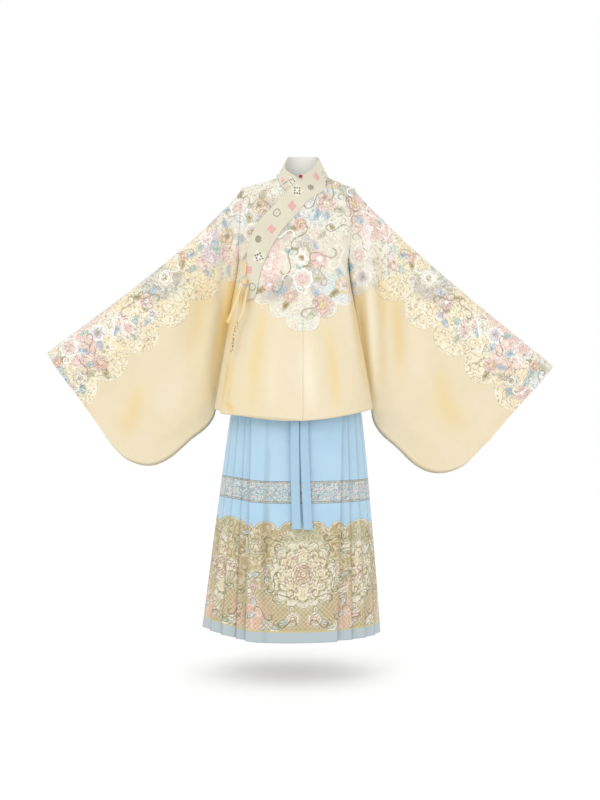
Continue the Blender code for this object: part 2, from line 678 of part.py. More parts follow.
def make_skirt_half(name, hand, dressing):
    """One of the skirt's two sheets, which passes over or under the other at front and back."""
    pleats = PLEATS_LEFT if hand > 0 else PLEATS_RIGHT
    rows = []
    for z in steps(SKIRT_ROWS, SKIRT_TOP, SKIRT_HEM):
        if hand < 0:
            section = skirt_section(pleats, z, DOOR_FREE, DOOR_FOLD, UNDER_FOLD, UNDER_FREE,
                                    DOOR_LAYER, UNDER_LAYER)
        else:
            section = skirt_section(pleats, z, UNDER_FREE, UNDER_FOLD, DOOR_FOLD, DOOR_FREE,
                                    UNDER_LAYER, DOOR_LAYER)
        lift = 0.0 if hand > 0 else HIP_LIFT * (SKIRT_TOP - z) / (SKIRT_TOP - SKIRT_HEM)
        row = [skirt_point(hand * angle, z, out) for angle, out in section]
        for point, (angle, out) in zip(row, section):
            point.z += lift * ease((math.sin(angle) - HIP_FROM) / (1.0 - HIP_FROM))
        rows.append(row)
    return cloth(name, (rows,), SKIRT_CLOTH, dressing, outward=Vector((0, -1, 0)))


def make_waistband(name, dressing):
    """The band that both sheets are sewn to, round the waist."""
    rows = []
    for z in steps(3, SKIRT_TOP + WAISTBAND_HEIGHT, SKIRT_TOP + 2 * SEAM):
        turns = [2.0 * math.pi * i / WAISTBAND_STEPS for i in range(WAISTBAND_STEPS)]
        rows.append([skirt_point(turn, z, 0.0) for turn in turns])
    return cloth(name, (rows,), WAISTBAND_CLOTH, dressing, loop=True, outward=Vector((0, -1, 0)))


def make_ribbons(dressing):
    for name, table in RIBBONS.items():
        top, bottom = table[0]["z"], table[-1]["z"]
        rows = []
        for z in steps(12, top, bottom):
            middle = read(table, "z", "x", z)
            row = []
            for across in steps(3, -0.5, 0.5):
                x = middle + across * RIBBON_WIDTH
                half = read(SKIRT, "z", "half", z)
                angle = math.asin((x - read(SKIRT, "z", "middle", z)) / half)
                row.append(skirt_point(angle, z, DOOR_LAYER + RIBBON_CLEAR))
                row[-1].x = x
            rows.append(row)
        cloth(name, (rows,), SKIRT_CLOTH, dressing)


def main():
    clear_scene()
    gold = material("gold_satin", GOLD, 0.42)
    cream = material("cream_satin", CREAM, 0.45)
    red = material("red_cord", RED, 0.6)
    tie = material("tie_satin", TIE_GOLD, 0.42)
    blue = material("blue_satin", BLUE, 0.5)
    ribbon = material("blue_ribbon", RIBBON_BLUE, 0.5)

    make_body("body_left", 1, gold)
    make_body("body_right", -1, gold)
    make_overlap("front_overlap", gold)
    make_sleeve("sleeve_left", 1, gold)
    make_sleeve("sleeve_right", -1, gold)
    make_collar_band("collar_band", cream)
    make_knot("collar_knot", red)
    make_side_tie(tie)
    make_skirt_half("skirt_right", -1, blue)
    make_skirt_half("skirt_left", 1, blue)
    make_waistband("skirt_waistband", blue)
    make_ribbons(ribbon)


main()
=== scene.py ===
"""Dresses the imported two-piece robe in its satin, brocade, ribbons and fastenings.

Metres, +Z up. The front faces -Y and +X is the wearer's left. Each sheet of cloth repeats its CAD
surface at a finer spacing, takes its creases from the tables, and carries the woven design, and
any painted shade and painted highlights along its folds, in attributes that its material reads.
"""

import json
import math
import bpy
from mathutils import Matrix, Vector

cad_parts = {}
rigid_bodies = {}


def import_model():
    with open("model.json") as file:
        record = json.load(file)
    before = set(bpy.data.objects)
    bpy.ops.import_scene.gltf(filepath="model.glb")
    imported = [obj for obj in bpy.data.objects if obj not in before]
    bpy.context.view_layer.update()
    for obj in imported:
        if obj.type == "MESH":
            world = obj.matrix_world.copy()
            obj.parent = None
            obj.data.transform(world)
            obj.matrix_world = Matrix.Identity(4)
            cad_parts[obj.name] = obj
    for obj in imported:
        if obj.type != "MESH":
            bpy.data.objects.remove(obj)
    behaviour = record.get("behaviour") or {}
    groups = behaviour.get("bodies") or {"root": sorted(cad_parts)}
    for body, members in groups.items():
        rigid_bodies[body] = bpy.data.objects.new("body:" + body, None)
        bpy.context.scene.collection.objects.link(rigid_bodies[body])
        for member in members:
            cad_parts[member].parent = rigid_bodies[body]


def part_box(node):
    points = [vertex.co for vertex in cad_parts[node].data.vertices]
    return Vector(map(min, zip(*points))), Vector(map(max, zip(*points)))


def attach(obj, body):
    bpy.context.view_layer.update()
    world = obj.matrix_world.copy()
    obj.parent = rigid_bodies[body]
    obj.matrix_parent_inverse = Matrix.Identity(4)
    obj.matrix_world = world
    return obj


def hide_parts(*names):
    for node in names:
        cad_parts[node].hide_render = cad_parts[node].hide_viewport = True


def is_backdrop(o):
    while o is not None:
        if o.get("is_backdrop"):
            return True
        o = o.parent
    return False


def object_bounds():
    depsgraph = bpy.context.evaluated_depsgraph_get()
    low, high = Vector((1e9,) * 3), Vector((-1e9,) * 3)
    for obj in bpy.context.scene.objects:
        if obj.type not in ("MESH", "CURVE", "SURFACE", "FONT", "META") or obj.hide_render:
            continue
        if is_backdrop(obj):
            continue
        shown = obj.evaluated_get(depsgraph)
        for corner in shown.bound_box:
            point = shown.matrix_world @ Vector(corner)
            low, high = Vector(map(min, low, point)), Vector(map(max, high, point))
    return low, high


bl_info = {
    "name": "Two-Piece Robe",
    "version": (1, 0, 0),
    "blender": (4, 5, 0),
    "location": "View3D > Sidebar > Robe",
    "description": "Builds the finished robe around its packed frame",
    "category": "Add Mesh",
}

import bpy
import numpy as np
from bpy.props import FloatProperty, FloatVectorProperty, PointerProperty
from bpy.types import Operator, Panel, PropertyGroup
from mathutils import Vector

for startup in list(bpy.data.objects):
    bpy.data.objects.remove(startup, do_unlink=True)
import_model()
CAD_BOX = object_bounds()

# --- the cut, as in the solid model --------------------------------------------------------------

SEAM = 0.0001
LAYER = 0.0045
TRUNK = (
    {"z": 0.020, "middle": -0.0135, "half": 0.1685, "front": 0.122, "back": 0.092},
    {"z": -0.215, "middle": -0.027, "half": 0.164, "front": 0.130, "back": 0.104},
    {"z": -0.400, "middle": -0.028, "half": 0.192, "front": 0.142, "back": 0.118},
    {"z": -0.690, "middle": -0.028, "half": 0.240, "front": 0.190, "back": 0.172},
)
FLAT_SHOULDER = 1.0
SHOULDER_ROUND = 0.130
NECK_HALF = 0.074
NECK_TOP = 0.028
NECK_DIP_FRONT = 0.075
NECK_DIP_BACK = 0.012
SHOULDER_END = -0.004
ARMPIT = -0.215
ARM_HALF_DEPTH = 0.052
HEM_MIDDLE = -0.687
HEM_SIDE = -0.654
OVERLAP_EDGE = (
    {"share": 0.00, "x": -0.046, "z": -0.032},
    {"share": 0.10, "x": -0.107, "z": -0.099},
    {"share": 0.22, "x": -0.146, "z": -0.160},
    {"share": 0.34, "x": -0.162, "z": -0.225},
    {"share": 0.46, "x": -0.174, "z": -0.310},
    {"share": 0.60, "x": -0.195, "z": -0.400},
    {"share": 1.00, "x": -0.238, "z": -0.668},
)
UNDER_REACH = 0.045
BAND_KEYS = ("upper_x", "upper_z", "lower_x", "lower_z", "out")
BAND_FRONT = tuple(
    dict(zip(BAND_KEYS, row), place=float(i))
    for i, row in enumerate(
        (
            (0.0465, 0.082, 0.0735, 0.0320, 0.0000),
            (0.0290, 0.047, 0.0690, -0.0050, 0.0022),
            (0.0080, 0.029, 0.0540, -0.0285, 0.0036),
            (-0.0090, 0.017, 0.0300, -0.0450, 0.0056),
            (-0.0320, -0.012, 0.0080, -0.0640, 0.0060),
            (-0.0600, -0.044, -0.0170, -0.0970, 0.0056),
            (-0.0950, -0.083, -0.0460, -0.1280, 0.0044),
            (-0.1237, -0.112, -0.0680, -0.1560, 0.0042),
            (-0.1450, -0.150, -0.0880, -0.1880, 0.0056),
            (-0.1590, -0.195, -0.1050, -0.2220, 0.0062),
            (-0.1680, -0.250, -0.1220, -0.2640, 0.0056),
            (-0.1740, -0.310, -0.1340, -0.3200, 0.0042),
            (-0.1730, -0.345, -0.1400, -0.3360, 0.0042),
        )
    )
)
BAND_CLEAR = 0.0020
STAND_LIFT = 0.0022
STAND_START = -172.0
STAND_SIDE = 90.0
NECK = (
    {"z": -0.047, "half": 0.098, "front": 0.1070, "back": 0.046},
    {"z": -0.006, "half": 0.083, "front": 0.0830, "back": 0.046},
    {"z": 0.028, "half": 0.074, "front": 0.0700, "back": 0.045},
    {"z": 0.080, "half": 0.048, "front": 0.0510, "back": 0.046},
    {"z": 0.098, "half": 0.0465, "front": 0.0460, "back": 0.046},
)
STAND_TOP = (
    {"turn": 0.0, "z": 0.0985},
    {"turn": 60.0, "z": 0.0930},
    {"turn": 90.0, "z": 0.0820},
    {"turn": 125.0, "z": 0.0500},
    {"turn": 172.0, "z": 0.0140},
)
SEAM_KEYS = ("share", "x", "z")
SLEEVE_LEFT = tuple(
    dict(zip(SEAM_KEYS, row))
    for row in (
        (0.00, 0.143, -0.215),
        (0.10, 0.166, -0.350),
        (0.20, 0.190, -0.540),
        (0.30, 0.209, -0.686),
        (0.42, 0.278, -0.764),
        (0.56, 0.343, -0.822),
        (0.70, 0.404, -0.839),
        (0.84, 0.470, -0.820),
        (0.93, 0.517, -0.777),
        (1.00, 0.556, -0.739),
    )
)
SLEEVE_RIGHT = tuple(
    dict(zip(SEAM_KEYS, row))
    for row in (
        (0.00, -0.197, -0.215),
        (0.10, -0.222, -0.350),
        (0.20, -0.246, -0.530),
        (0.30, -0.264, -0.672),
        (0.42, -0.333, -0.741),
        (0.56, -0.396, -0.795),
        (0.70, -0.452, -0.817),
        (0.84, -0.515, -0.802),
        (0.93, -0.553, -0.771),
        (1.00, -0.580, -0.738),
    )
)
CUFF_TIP_LEFT = (0.735, -0.526)
CUFF_TIP_RIGHT = (-0.752, -0.487)
SLEEVE_BESIDE = 0.24
SLEEVE_CLEAR = -0.0025
ARMPIT_CLEAR = 0.0010
SLEEVE_BACK = 0.009
RIDGE_SAG_LEFT = 0.025
RIDGE_SAG_RIGHT = 0.031
ARM_ROUND = 0.046
BAG_HALF = 0.016
ARMHOLE_TUCK = 0.985
ARMHOLE_GAP = -0.0030
FLAT_GAP = 0.0012
CUFF_OPEN = 0.58
SKIRT = (
    {"z": -0.352, "middle": -0.020, "half": 0.138, "deep": 0.100},
    {"z": -0.500, "middle": -0.020, "half": 0.160, "deep": 0.118},
    {"z": -0.670, "middle": -0.020, "half": 0.192, "deep": 0.146},
    {"z": -1.000, "middle": -0.027, "half": 0.230, "deep": 0.176},
    {"z": -1.307, "middle": -0.036, "half": 0.264, "deep": 0.202},
)
SKIRT_TOP = -0.352
SKIRT_HEM = -1.307
HIP_LIFT = 0.018
DOOR_FOLD = 0.124
DOOR_FREE = 0.128
UNDER_FOLD = 0.120
UNDER_FREE = 0.078
DOOR_LAYER = 0.006
UNDER_LAYER = -0.002
PLEAT_DEPTH_TOP = 0.006
PLEAT_DEPTH_HEM = 0.015
FOLD_ROUND = 0.0042
TUCK = 0.50
PLEATS_RIGHT = ((0.20, 0.120), (0.42, 0.320), (0.66, 0.530), (0.90, 0.790))
PLEATS_LEFT = ((0.22, 0.230), (0.45, 0.430), (0.68, 0.650), (0.90, 0.870))
WAISTBAND_HEIGHT = 0.062
RIBBONS = {
    "skirt_ribbon_right": (
        {"z": -0.330, "x": -0.014},
        {"z": -0.690, "x": -0.0235},
        {"z": -0.850, "x": -0.0225},
        {"z": -0.990, "x": -0.0190},
    ),
    "skirt_ribbon_left": (
        {"z": -0.330, "x": 0.014},
        {"z": -0.690, "x": 0.0025},
        {"z": -0.850, "x": 0.0070},
        {"z": -0.992, "x": 0.0140},
    ),
}
RIBBON_CLEAR = 0.012


# --- numbers -------------------------------------------------------------------------------------


def ease(share):
    share = np.clip(share, 0.0, 1.0)
    return share * share * (3.0 - 2.0 * share)


def mix(start, end, share):
    return start + (end - start) * share


def read(table, by, column, at):
    """The column's value at each place along the table, smoothly between its rows."""
    rows = sorted(table, key=lambda row: row[by])
    xs = np.array([row[by] for row in rows])
    ys = np.array([row[column] for row in rows])
    at = np.clip(np.asarray(at, float), xs[0], xs[-1])
    i = np.clip(np.searchsorted(xs, at, side="left") - 1, 0, len(xs) - 2)
    slope = np.diff(ys) / np.diff(xs)
    tangent = np.concatenate([slope[:1], (ys[2:] - ys[:-2]) / (xs[2:] - xs[:-2]), slope[-1:]])
    gap = xs[i + 1] - xs[i]
    t = (at - xs[i]) / gap
    return (
        (2 * t**3 - 3 * t**2 + 1) * ys[i]
        + (t**3 - 2 * t**2 + t) * gap * tangent[i]
        + (3 * t**2 - 2 * t**3) * ys[i + 1]
        + (t**3 - t**2) * gap * tangent[i + 1]
    )


def stack(x, y, z):
    return np.stack(np.broadcast_arrays(x, y, z), axis=-1)


def spaced(counts, stops):
    """Values through the stops, with so many steps between each and the next."""
    parts = [np.linspace(a, b, n, endpoint=False) for n, a, b in zip(counts, stops, stops[1:])]
    return np.concatenate(parts + [np.array([stops[-1]])])


# --- surfaces of the jacket ----------------------------------------------------------------------

TRUNK_MIDDLE = float(read(TRUNK, "z", "middle", 0.0))
TRUNK_REACH = float(read(TRUNK, "z", "half", 0.0))


def shoulder_line(x):
    inner = np.where(x > 0, NECK_HALF, -NECK_HALF)
    end = TRUNK_MIDDLE + np.where(x > 0, TRUNK_REACH, -TRUNK_REACH)
    share = np.clip((x - inner) / (end - inner), 0.0, 1.0)
    return mix(NECK_TOP, SHOULDER_END, share**0.85)


def neck_line(x, dip):
    return NECK_TOP - dip * np.sqrt(np.maximum(0.0, 1.0 - (x / NECK_HALF) ** 2))


def arm_half(z):
    middle = 0.5 * (SHOULDER_END + ARMPIT)
    reach = 0.5 * (SHOULDER_END - ARMPIT)
    return ARM_HALF_DEPTH * np.sqrt(np.maximum(0.0, 1.0 - ((z - middle) / reach) ** 2))


def trunk_point(x, z, side, out=0.0):
    """Points of the trunk at x and z on its front (side -1) or back (side 1)."""
    x, z = np.broadcast_arrays(np.asarray(x, float), np.asarray(z, float))
    half = read(TRUNK, "z", "half", z) + out
    across = np.clip((x - read(TRUNK, "z", "middle", z)) / half, -1.0, 1.0)
    full = read(TRUNK, "z", "front" if side < 0 else "back", z)
    below = np.clip((shoulder_line(x) + out - z) / (SHOULDER_ROUND + out), 0.0, 1.0)
    round_over = np.sqrt(np.maximum(0.0, 1.0 - (1.0 - below) ** 2))
    edge = np.where(z > ARMPIT, arm_half(z), 0.0)
    fall = ease((SHOULDER_END - z) / (SHOULDER_END - ARMPIT))
    bulge = (1.0 - across**2) ** mix(FLAT_SHOULDER, 0.5, fall)
    depth = edge + (full * round_over - edge) * bulge
    return stack(x, side * (np.maximum(depth, edge * bulge) + out), z)


def trunk_edge(z, hand):
    return read(TRUNK, "z", "middle", z) + hand * read(TRUNK, "z", "half", z)


def hem_line(share):
    return mix(HEM_MIDDLE, HEM_SIDE, np.abs(share) ** 1.7)


def no_layer(x, z):
    return np.zeros_like(x)


def under_layer(x, z):
    return -LAYER * ease((x + 0.050) / 0.035)


def outer_layer(x, z):
    return LAYER * ease(-np.asarray(x) / 0.040)


def panel_rows(side, hand, reach, layer):
    """Half of the trunk's front or back, from its side to x = reach, by rows from the top down."""
    dip = NECK_DIP_FRONT if side < 0 else NECK_DIP_BACK
    edge = float(trunk_edge(0.0, hand))
    over_shoulder = np.linspace(edge, hand * NECK_HALF, 30)
    over_neck = mix(hand * NECK_HALF, reach, np.sin(0.5 * math.pi * np.linspace(0, 1, 38)))
    start = np.concatenate([over_shoulder[:-1], over_neck])[None, :]
    v = spaced((24, 100, 30), (0.0, 0.16, 0.74, 1.0))[:, None]
    top = np.where(hand * start >= NECK_HALF, shoulder_line(start), neck_line(start, dip))
    z = mix(top, hem_line((start - TRUNK_MIDDLE) / (edge - TRUNK_MIDDLE)), v**1.35)
    spread = trunk_edge(z, hand) - trunk_edge(top, hand)
    x = start + spread * (start - reach) / (edge - reach)
    return trunk_point(x, z, side, layer(x, z))


def overlap_rows():
    """The outer front, from its seam at the middle to its edge at the wearer's right."""
    v = spaced((18, 86, 36), (0.0, 0.10, 0.58, 1.0))[:, None]
    u = spaced((10, 52), (0.0, 0.10, 1.0))[None, :]
    x = mix(read(OVERLAP_EDGE, "share", "x", v), -SEAM, u)
    right_z = mix(neck_line(0.0, NECK_DIP_FRONT), HEM_MIDDLE, v)
    z = mix(read(OVERLAP_EDGE, "share", "z", v), right_z, u)
    z = np.where(v == 0.0, neck_line(x, NECK_DIP_FRONT), z)
    return trunk_point(x, z, -1, outer_layer(x, z))


def neck_point(turn, z, out=0.0):
    front = read(NECK, "z", "front", z)
    back = read(NECK, "z", "back", z)
    reach = np.where(np.cos(turn) < 0.0, front, back) + out
    half = read(NECK, "z", "half", z) + out
    return stack(half * np.sin(turn), reach * np.cos(turn), z)


def stand_point(turn, share):
    """Points of the collar's stand, from the neck's edge up to its upper edge."""
    turn, share = np.broadcast_arrays(np.asarray(turn, float), np.asarray(share, float))
    x = NECK_HALF * np.sin(turn)
    front = trunk_point(x, neck_line(x, NECK_DIP_FRONT), -1)
    back = trunk_point(x, neck_line(x, NECK_DIP_BACK), 1)
    base = np.where((np.cos(turn) < 0.0)[..., None], front, back)
    base = base + np.array((0.0, 0.0, STAND_LIFT))
    top = neck_point(turn, read(STAND_TOP, "turn", "z", np.abs(np.degrees(turn))))
    middle = neck_point(turn, mix(base[..., 2], top[..., 2], share))
    share = share[..., None]
    return mix(mix(base, top, share), middle, share * (1.0 - share))


def front_point(x, z, out):
    """Points over the front that follow the trunk, and above the neck's edge the neck."""
    trunk = trunk_point(x, z, -1, out)
    inside = 1.0 - (x / read(NECK, "z", "half", z)) ** 2
    neck = -read(NECK, "z", "front", z) * np.sqrt(np.maximum(0.0, inside)) - out
    y, soft = trunk[..., 1], 0.004
    over = 0.5 * (y + neck - np.sqrt((y - neck) ** 2 + soft**2)) + 0.5 * soft
    trunk[..., 1] = np.where(z < NECK[0]["z"], y, over)
    return trunk


def band_columns(shares):
    """The collar and the band down the outer front, by columns along the strip."""
    turns = np.radians(np.linspace(STAND_START, STAND_SIDE, 150))[:-1, None]
    stand = stand_point(turns, shares[None, :])
    place = np.linspace(0.0, len(BAND_FRONT) - 1, 330)
    row = {key: read(BAND_FRONT, "place", key, place)[:, None] for key in BAND_KEYS}
    x = mix(row["lower_x"], row["upper_x"], shares)
    z = mix(row["lower_z"], row["upper_z"], shares)
    inner = np.minimum(row["out"], BAND_CLEAR)
    out = mix(inner, row["out"], ease(shares / 0.6)) + outer_layer(x, z)
    on_stand = stand_point(np.full_like(x, math.radians(STAND_SIDE)), np.broadcast_to(shares, x.shape))
    front = mix(on_stand, front_point(x, z, out), ease(place[:, None, None] / 1.6))
    return np.concatenate([stand, front])


def bag_profile(down):
    ridge = np.sqrt(np.clip(1.0 - (1.0 - down / 0.16) ** 2, 0.0, 1.0))
    hang = mix(1.0, BAG_HALF / ARM_ROUND, ease((down - 0.16) / 0.42))
    tail = 1.0 - np.clip((down - 0.16) / 0.84, 0.0, 1.0) ** 3
    return np.where(down < 0.16, ridge, hang * tail)


def sleeve_form(hand, share, down, side):
    """The hanging form of a sleeve, from its ridge down, before it is fitted to the armhole."""
    seam = SLEEVE_LEFT if hand > 0 else SLEEVE_RIGHT
    tip = CUFF_TIP_LEFT if hand > 0 else CUFF_TIP_RIGHT
    low_x, low_z = read(seam, "share", "x", share), read(seam, "share", "z", share)
    clear = mix(ARMPIT_CLEAR, SLEEVE_CLEAR, ease(share / 0.14))
    beside = trunk_edge(low_z, hand) + hand * clear
    low_x = mix(beside, low_x, ease((share - SLEEVE_BESIDE) / 0.08))
    sag = (RIDGE_SAG_LEFT if hand > 0 else RIDGE_SAG_RIGHT) * np.sin(math.pi * share**0.62)
    ridge_x = mix(float(trunk_edge(0.0, hand)), tip[0], share)
    ridge_z = mix(SHOULDER_END, tip[1], share) - sag
    closed = ease((down - CUFF_OPEN) / 0.12) * ease((share - 0.90) / 0.10)
    depth = mix(ARM_ROUND * bag_profile(down), FLAT_GAP, closed)
    depth = np.where(down > 0.5, np.maximum(depth, FLAT_GAP), depth)
    along = ease(share / 0.10) * (1.0 - ease((share - SLEEVE_BESIDE) / 0.16))
    y = side * depth + SLEEVE_BACK * along * ease((down - 0.3) / 0.7)
    return stack(mix(ridge_x, low_x, down), y, mix(ridge_z, low_z, down))


def sleeve_point(hand, share, down, side):
    """Points of a sleeve at a share of its length; at 0 they meet the trunk's armhole."""
    z = mix(SHOULDER_END, ARMPIT, down)
    armhole = stack(trunk_edge(z, hand) + hand * ARMHOLE_GAP, side * ARMHOLE_TUCK * arm_half(z), z)
    fitted = armhole - sleeve_form(hand, np.zeros_like(share), down, side)
    return sleeve_form(hand, share, down, side) + fitted * (1.0 - ease(share / 0.16))[..., None]


# --- surfaces of the skirt -----------------------------------------------------------------------


def skirt_point(angle, z, out):
    """Points of the skirt: angle from the front's middle, growing to the wearer's left."""
    x = read(SKIRT, "z", "middle", z) + (read(SKIRT, "z", "half", z) + out) * np.sin(angle)
    return stack(x, -(read(SKIRT, "z", "deep", z) + out) * np.cos(angle), z)


def door_angle(reach, z):
    return np.arcsin(np.clip(reach / read(SKIRT, "z", "half", z), 0.0, 1.0))


DOOR_STEPS = 66
FOLD_STEPS = (3, 6, 3, 10)  # steps down a folded edge, back under, down inside, and out again


def pleat_quarter(pleats, fall, fold_angle, door_out):
    """From a door's folded edge to the hip: each fold goes under, back, and out again."""
    deep = mix(PLEAT_DEPTH_TOP, PLEAT_DEPTH_HEM, fall)
    edges = [fold_angle] + [
        mix(fold_angle, 0.5 * math.pi, mix(top, hem, fall)) for top, hem in pleats
    ]
    corners = []
    for i, edge in enumerate(edges):
        width = edges[i + 1] - edge if i + 1 < len(edges) else 0.5 * math.pi - edge
        back = edge - TUCK * np.maximum(width, edge - edges[i - 1] if i else width)
        out = door_out if i == 0 else 0.0
        corners.append((edge, out + 0.0 * fall, FOLD_STEPS[0]))
        corners.append((edge, out - FOLD_ROUND + 0.0 * fall, FOLD_STEPS[1]))
        corners.append((back, FOLD_ROUND - deep, FOLD_STEPS[2]))
        corners.append((back, -deep, FOLD_STEPS[3]))
    return corners


def skirt_rows(hand, z):
    """One of the skirt's two sheets at the heights z."""
    pleats = PLEATS_LEFT if hand > 0 else PLEATS_RIGHT
    fall = (SKIRT_TOP - z) / (SKIRT_TOP - SKIRT_HEM)
    reaches = (UNDER_FREE, UNDER_FOLD, DOOR_FOLD, DOOR_FREE)
    outs = (UNDER_LAYER, DOOR_LAYER)
    if hand < 0:
        reaches, outs = (DOOR_FREE, DOOR_FOLD, UNDER_FOLD, UNDER_FREE), (DOOR_LAYER, UNDER_LAYER)
    start, fold, again, end = (door_angle(reach, z) for reach in reaches)
    front = pleat_quarter(pleats, fall, fold, outs[0])
    back = pleat_quarter(pleats, fall, again, outs[1])
    level = 0.0 * fall
    corners = [(-start, outs[0] + level, DOOR_STEPS)] + front
    behind = [(math.pi - angle, out, count) for angle, out, count in back]
    counts = [count for _, _, count in back]
    for i, (angle, out, _) in reversed(list(enumerate(behind))):
        corners.append((angle, out, counts[i - 1] if i else DOOR_STEPS))
    corners.append((math.pi + end, outs[1] + level, 0))
    angles, depths = [], []
    for (a, b, count), (c, d, _) in zip(corners, corners[1:]):
        for step in range(count):
            angles.append(mix(a, c, step / count))
            depths.append(mix(b, d, step / count))
    angles.append(corners[-1][0])
    depths.append(corners[-1][1])
    angle, out = np.stack(angles, axis=1), np.stack(depths, axis=1)
    wave = 0.0012 * np.sin(9.0 * angle + 5.0 * z[:, None]) * ease(fall)[:, None]
    points = skirt_point(hand * angle, z[:, None] + 0.0 * angle, out + wave)
    if hand < 0:
        lift = HIP_LIFT * fall[:, None] * ease((np.sin(angle) - 0.35) / 0.65)
        points[..., 2] += lift
    return points


# --- sheets --------------------------------------------------------------------------------------


def grid_normals(points, loop):
    """A normal for each point of a grid, from its neighbours."""
    if loop:
        across = np.roll(points, -1, axis=1) - np.roll(points, 1, axis=1)
    else:
        across = np.gradient(points, axis=1)
    normal = np.cross(across, np.gradient(points, axis=0))
    return normal / np.maximum(np.linalg.norm(normal, axis=-1, keepdims=True), 1e-12)


def arc_lengths(points, axis):
    """How far each point of a grid lies along its row (axis 1) or column (axis 0)."""
    step = np.linalg.norm(np.diff(points, axis=axis), axis=-1)
    return np.concatenate([np.zeros_like(np.take(step, [0], axis)), np.cumsum(step, axis)], axis)


class Patch:
    """A grid of points of one sheet, facing away from the line inside it."""

    def __init__(self, points, inside, loop=False, flat=None):
        self.rest = points
        self.loop = loop
        normal = grid_normals(points, loop)
        away = points - inside
        middle = normal[points.shape[0] // 3 : 2 * points.shape[0] // 3]
        sign = np.sign((middle * away[points.shape[0] // 3 : 2 * points.shape[0] // 3]).sum())
        self.flip = sign < 0
        self.normal = normal * sign
        self.points = points.copy()
        if flat is None:
            flat = np.stack([arc_lengths(points, 1), -arc_lengths(points, 0)], axis=-1)
        self.flat = flat
        self.fields = {}

    def push(self, amount):
        """Moves the points along their normals."""
        self.points = self.points + self.normal * amount[..., None]


def make_sheet(name, patches, dressing, thickness, lining=None):
    """One sheet of cloth from its patches, welded where they meet, with its flat map and fields.

    A lining dresses its inner face.
    """
    points, faces, corners, start = [], [], [], 0
    for patch in patches:
        rows, width = patch.points.shape[:2]
        index = start + np.arange(rows * width).reshape(rows, width)
        right = np.roll(index, -1, axis=1) if patch.loop else index[:, 1:]
        left = index if patch.loop else index[:, :-1]
        quads = np.stack([left[:-1], right[:-1], right[1:], left[1:]], axis=-1).reshape(-1, 4)
        faces.append(quads[:, ::-1] if patch.flip else quads)
        points.append(patch.points.reshape(-1, 3))
        corners.append(patch.flat.reshape(-1, 2))
        start += rows * width
    points, faces = np.concatenate(points), np.concatenate(faces)
    flat = np.concatenate(corners)
    _, first, where = np.unique(
        np.round(points, 6), axis=0, return_index=True, return_inverse=True
    )
    where = where.reshape(-1)
    welded = where[faces]
    mesh = bpy.data.meshes.new(name)
    mesh.vertices.add(len(first))
    mesh.vertices.foreach_set("co", points[first].reshape(-1))
    mesh.loops.add(welded.size)
    mesh.loops.foreach_set("vertex_index", welded.reshape(-1).astype(np.int32))
    mesh.polygons.add(len(welded))
    mesh.polygons.foreach_set("loop_start", np.arange(0, welded.size, 4, dtype=np.int32))
    mesh.polygons.foreach_set("loop_total", np.full(len(welded), 4, np.int32))
    mesh.update(calc_edges=True)
    mesh.validate()
    layer = mesh.uv_layers.new(name="flat")
    layer.data.foreach_set("uv", flat[faces].reshape(-1).astype(np.float32))
    for key in patches[0].fields:
        values = np.concatenate([p.fields[key].reshape(-1, p.fields[key].shape[-1]) for p in patches])
        kind = {3: "FLOAT_VECTOR", 4: "FLOAT_COLOR"}[values.shape[-1]]
        attribute = mesh.attributes.new(key, kind, "POINT")
        entry = "vector" if kind == "FLOAT_VECTOR" else "color"
        attribute.data.foreach_set(entry, values[first].reshape(-1).astype(np.float32))
    mesh.polygons.foreach_set("use_smooth", np.ones(len(welded), bool))
    mesh.materials.append(dressing)
    if lining:
        mesh.materials.append(lining)
    obj = bpy.data.objects.new(name, mesh)
    bpy.context.collection.objects.link(obj)
    if thickness:
        wall = obj.modifiers.new("thickness", "SOLIDIFY")
        wall.thickness = thickness
        wall.offset = 0.0
        wall.use_even_offset = True
        wall.thickness_clamp = 0.0
        wall.material_offset = 1 if lining else 0
    return obj


# --- creases -------------------------------------------------------------------------------------

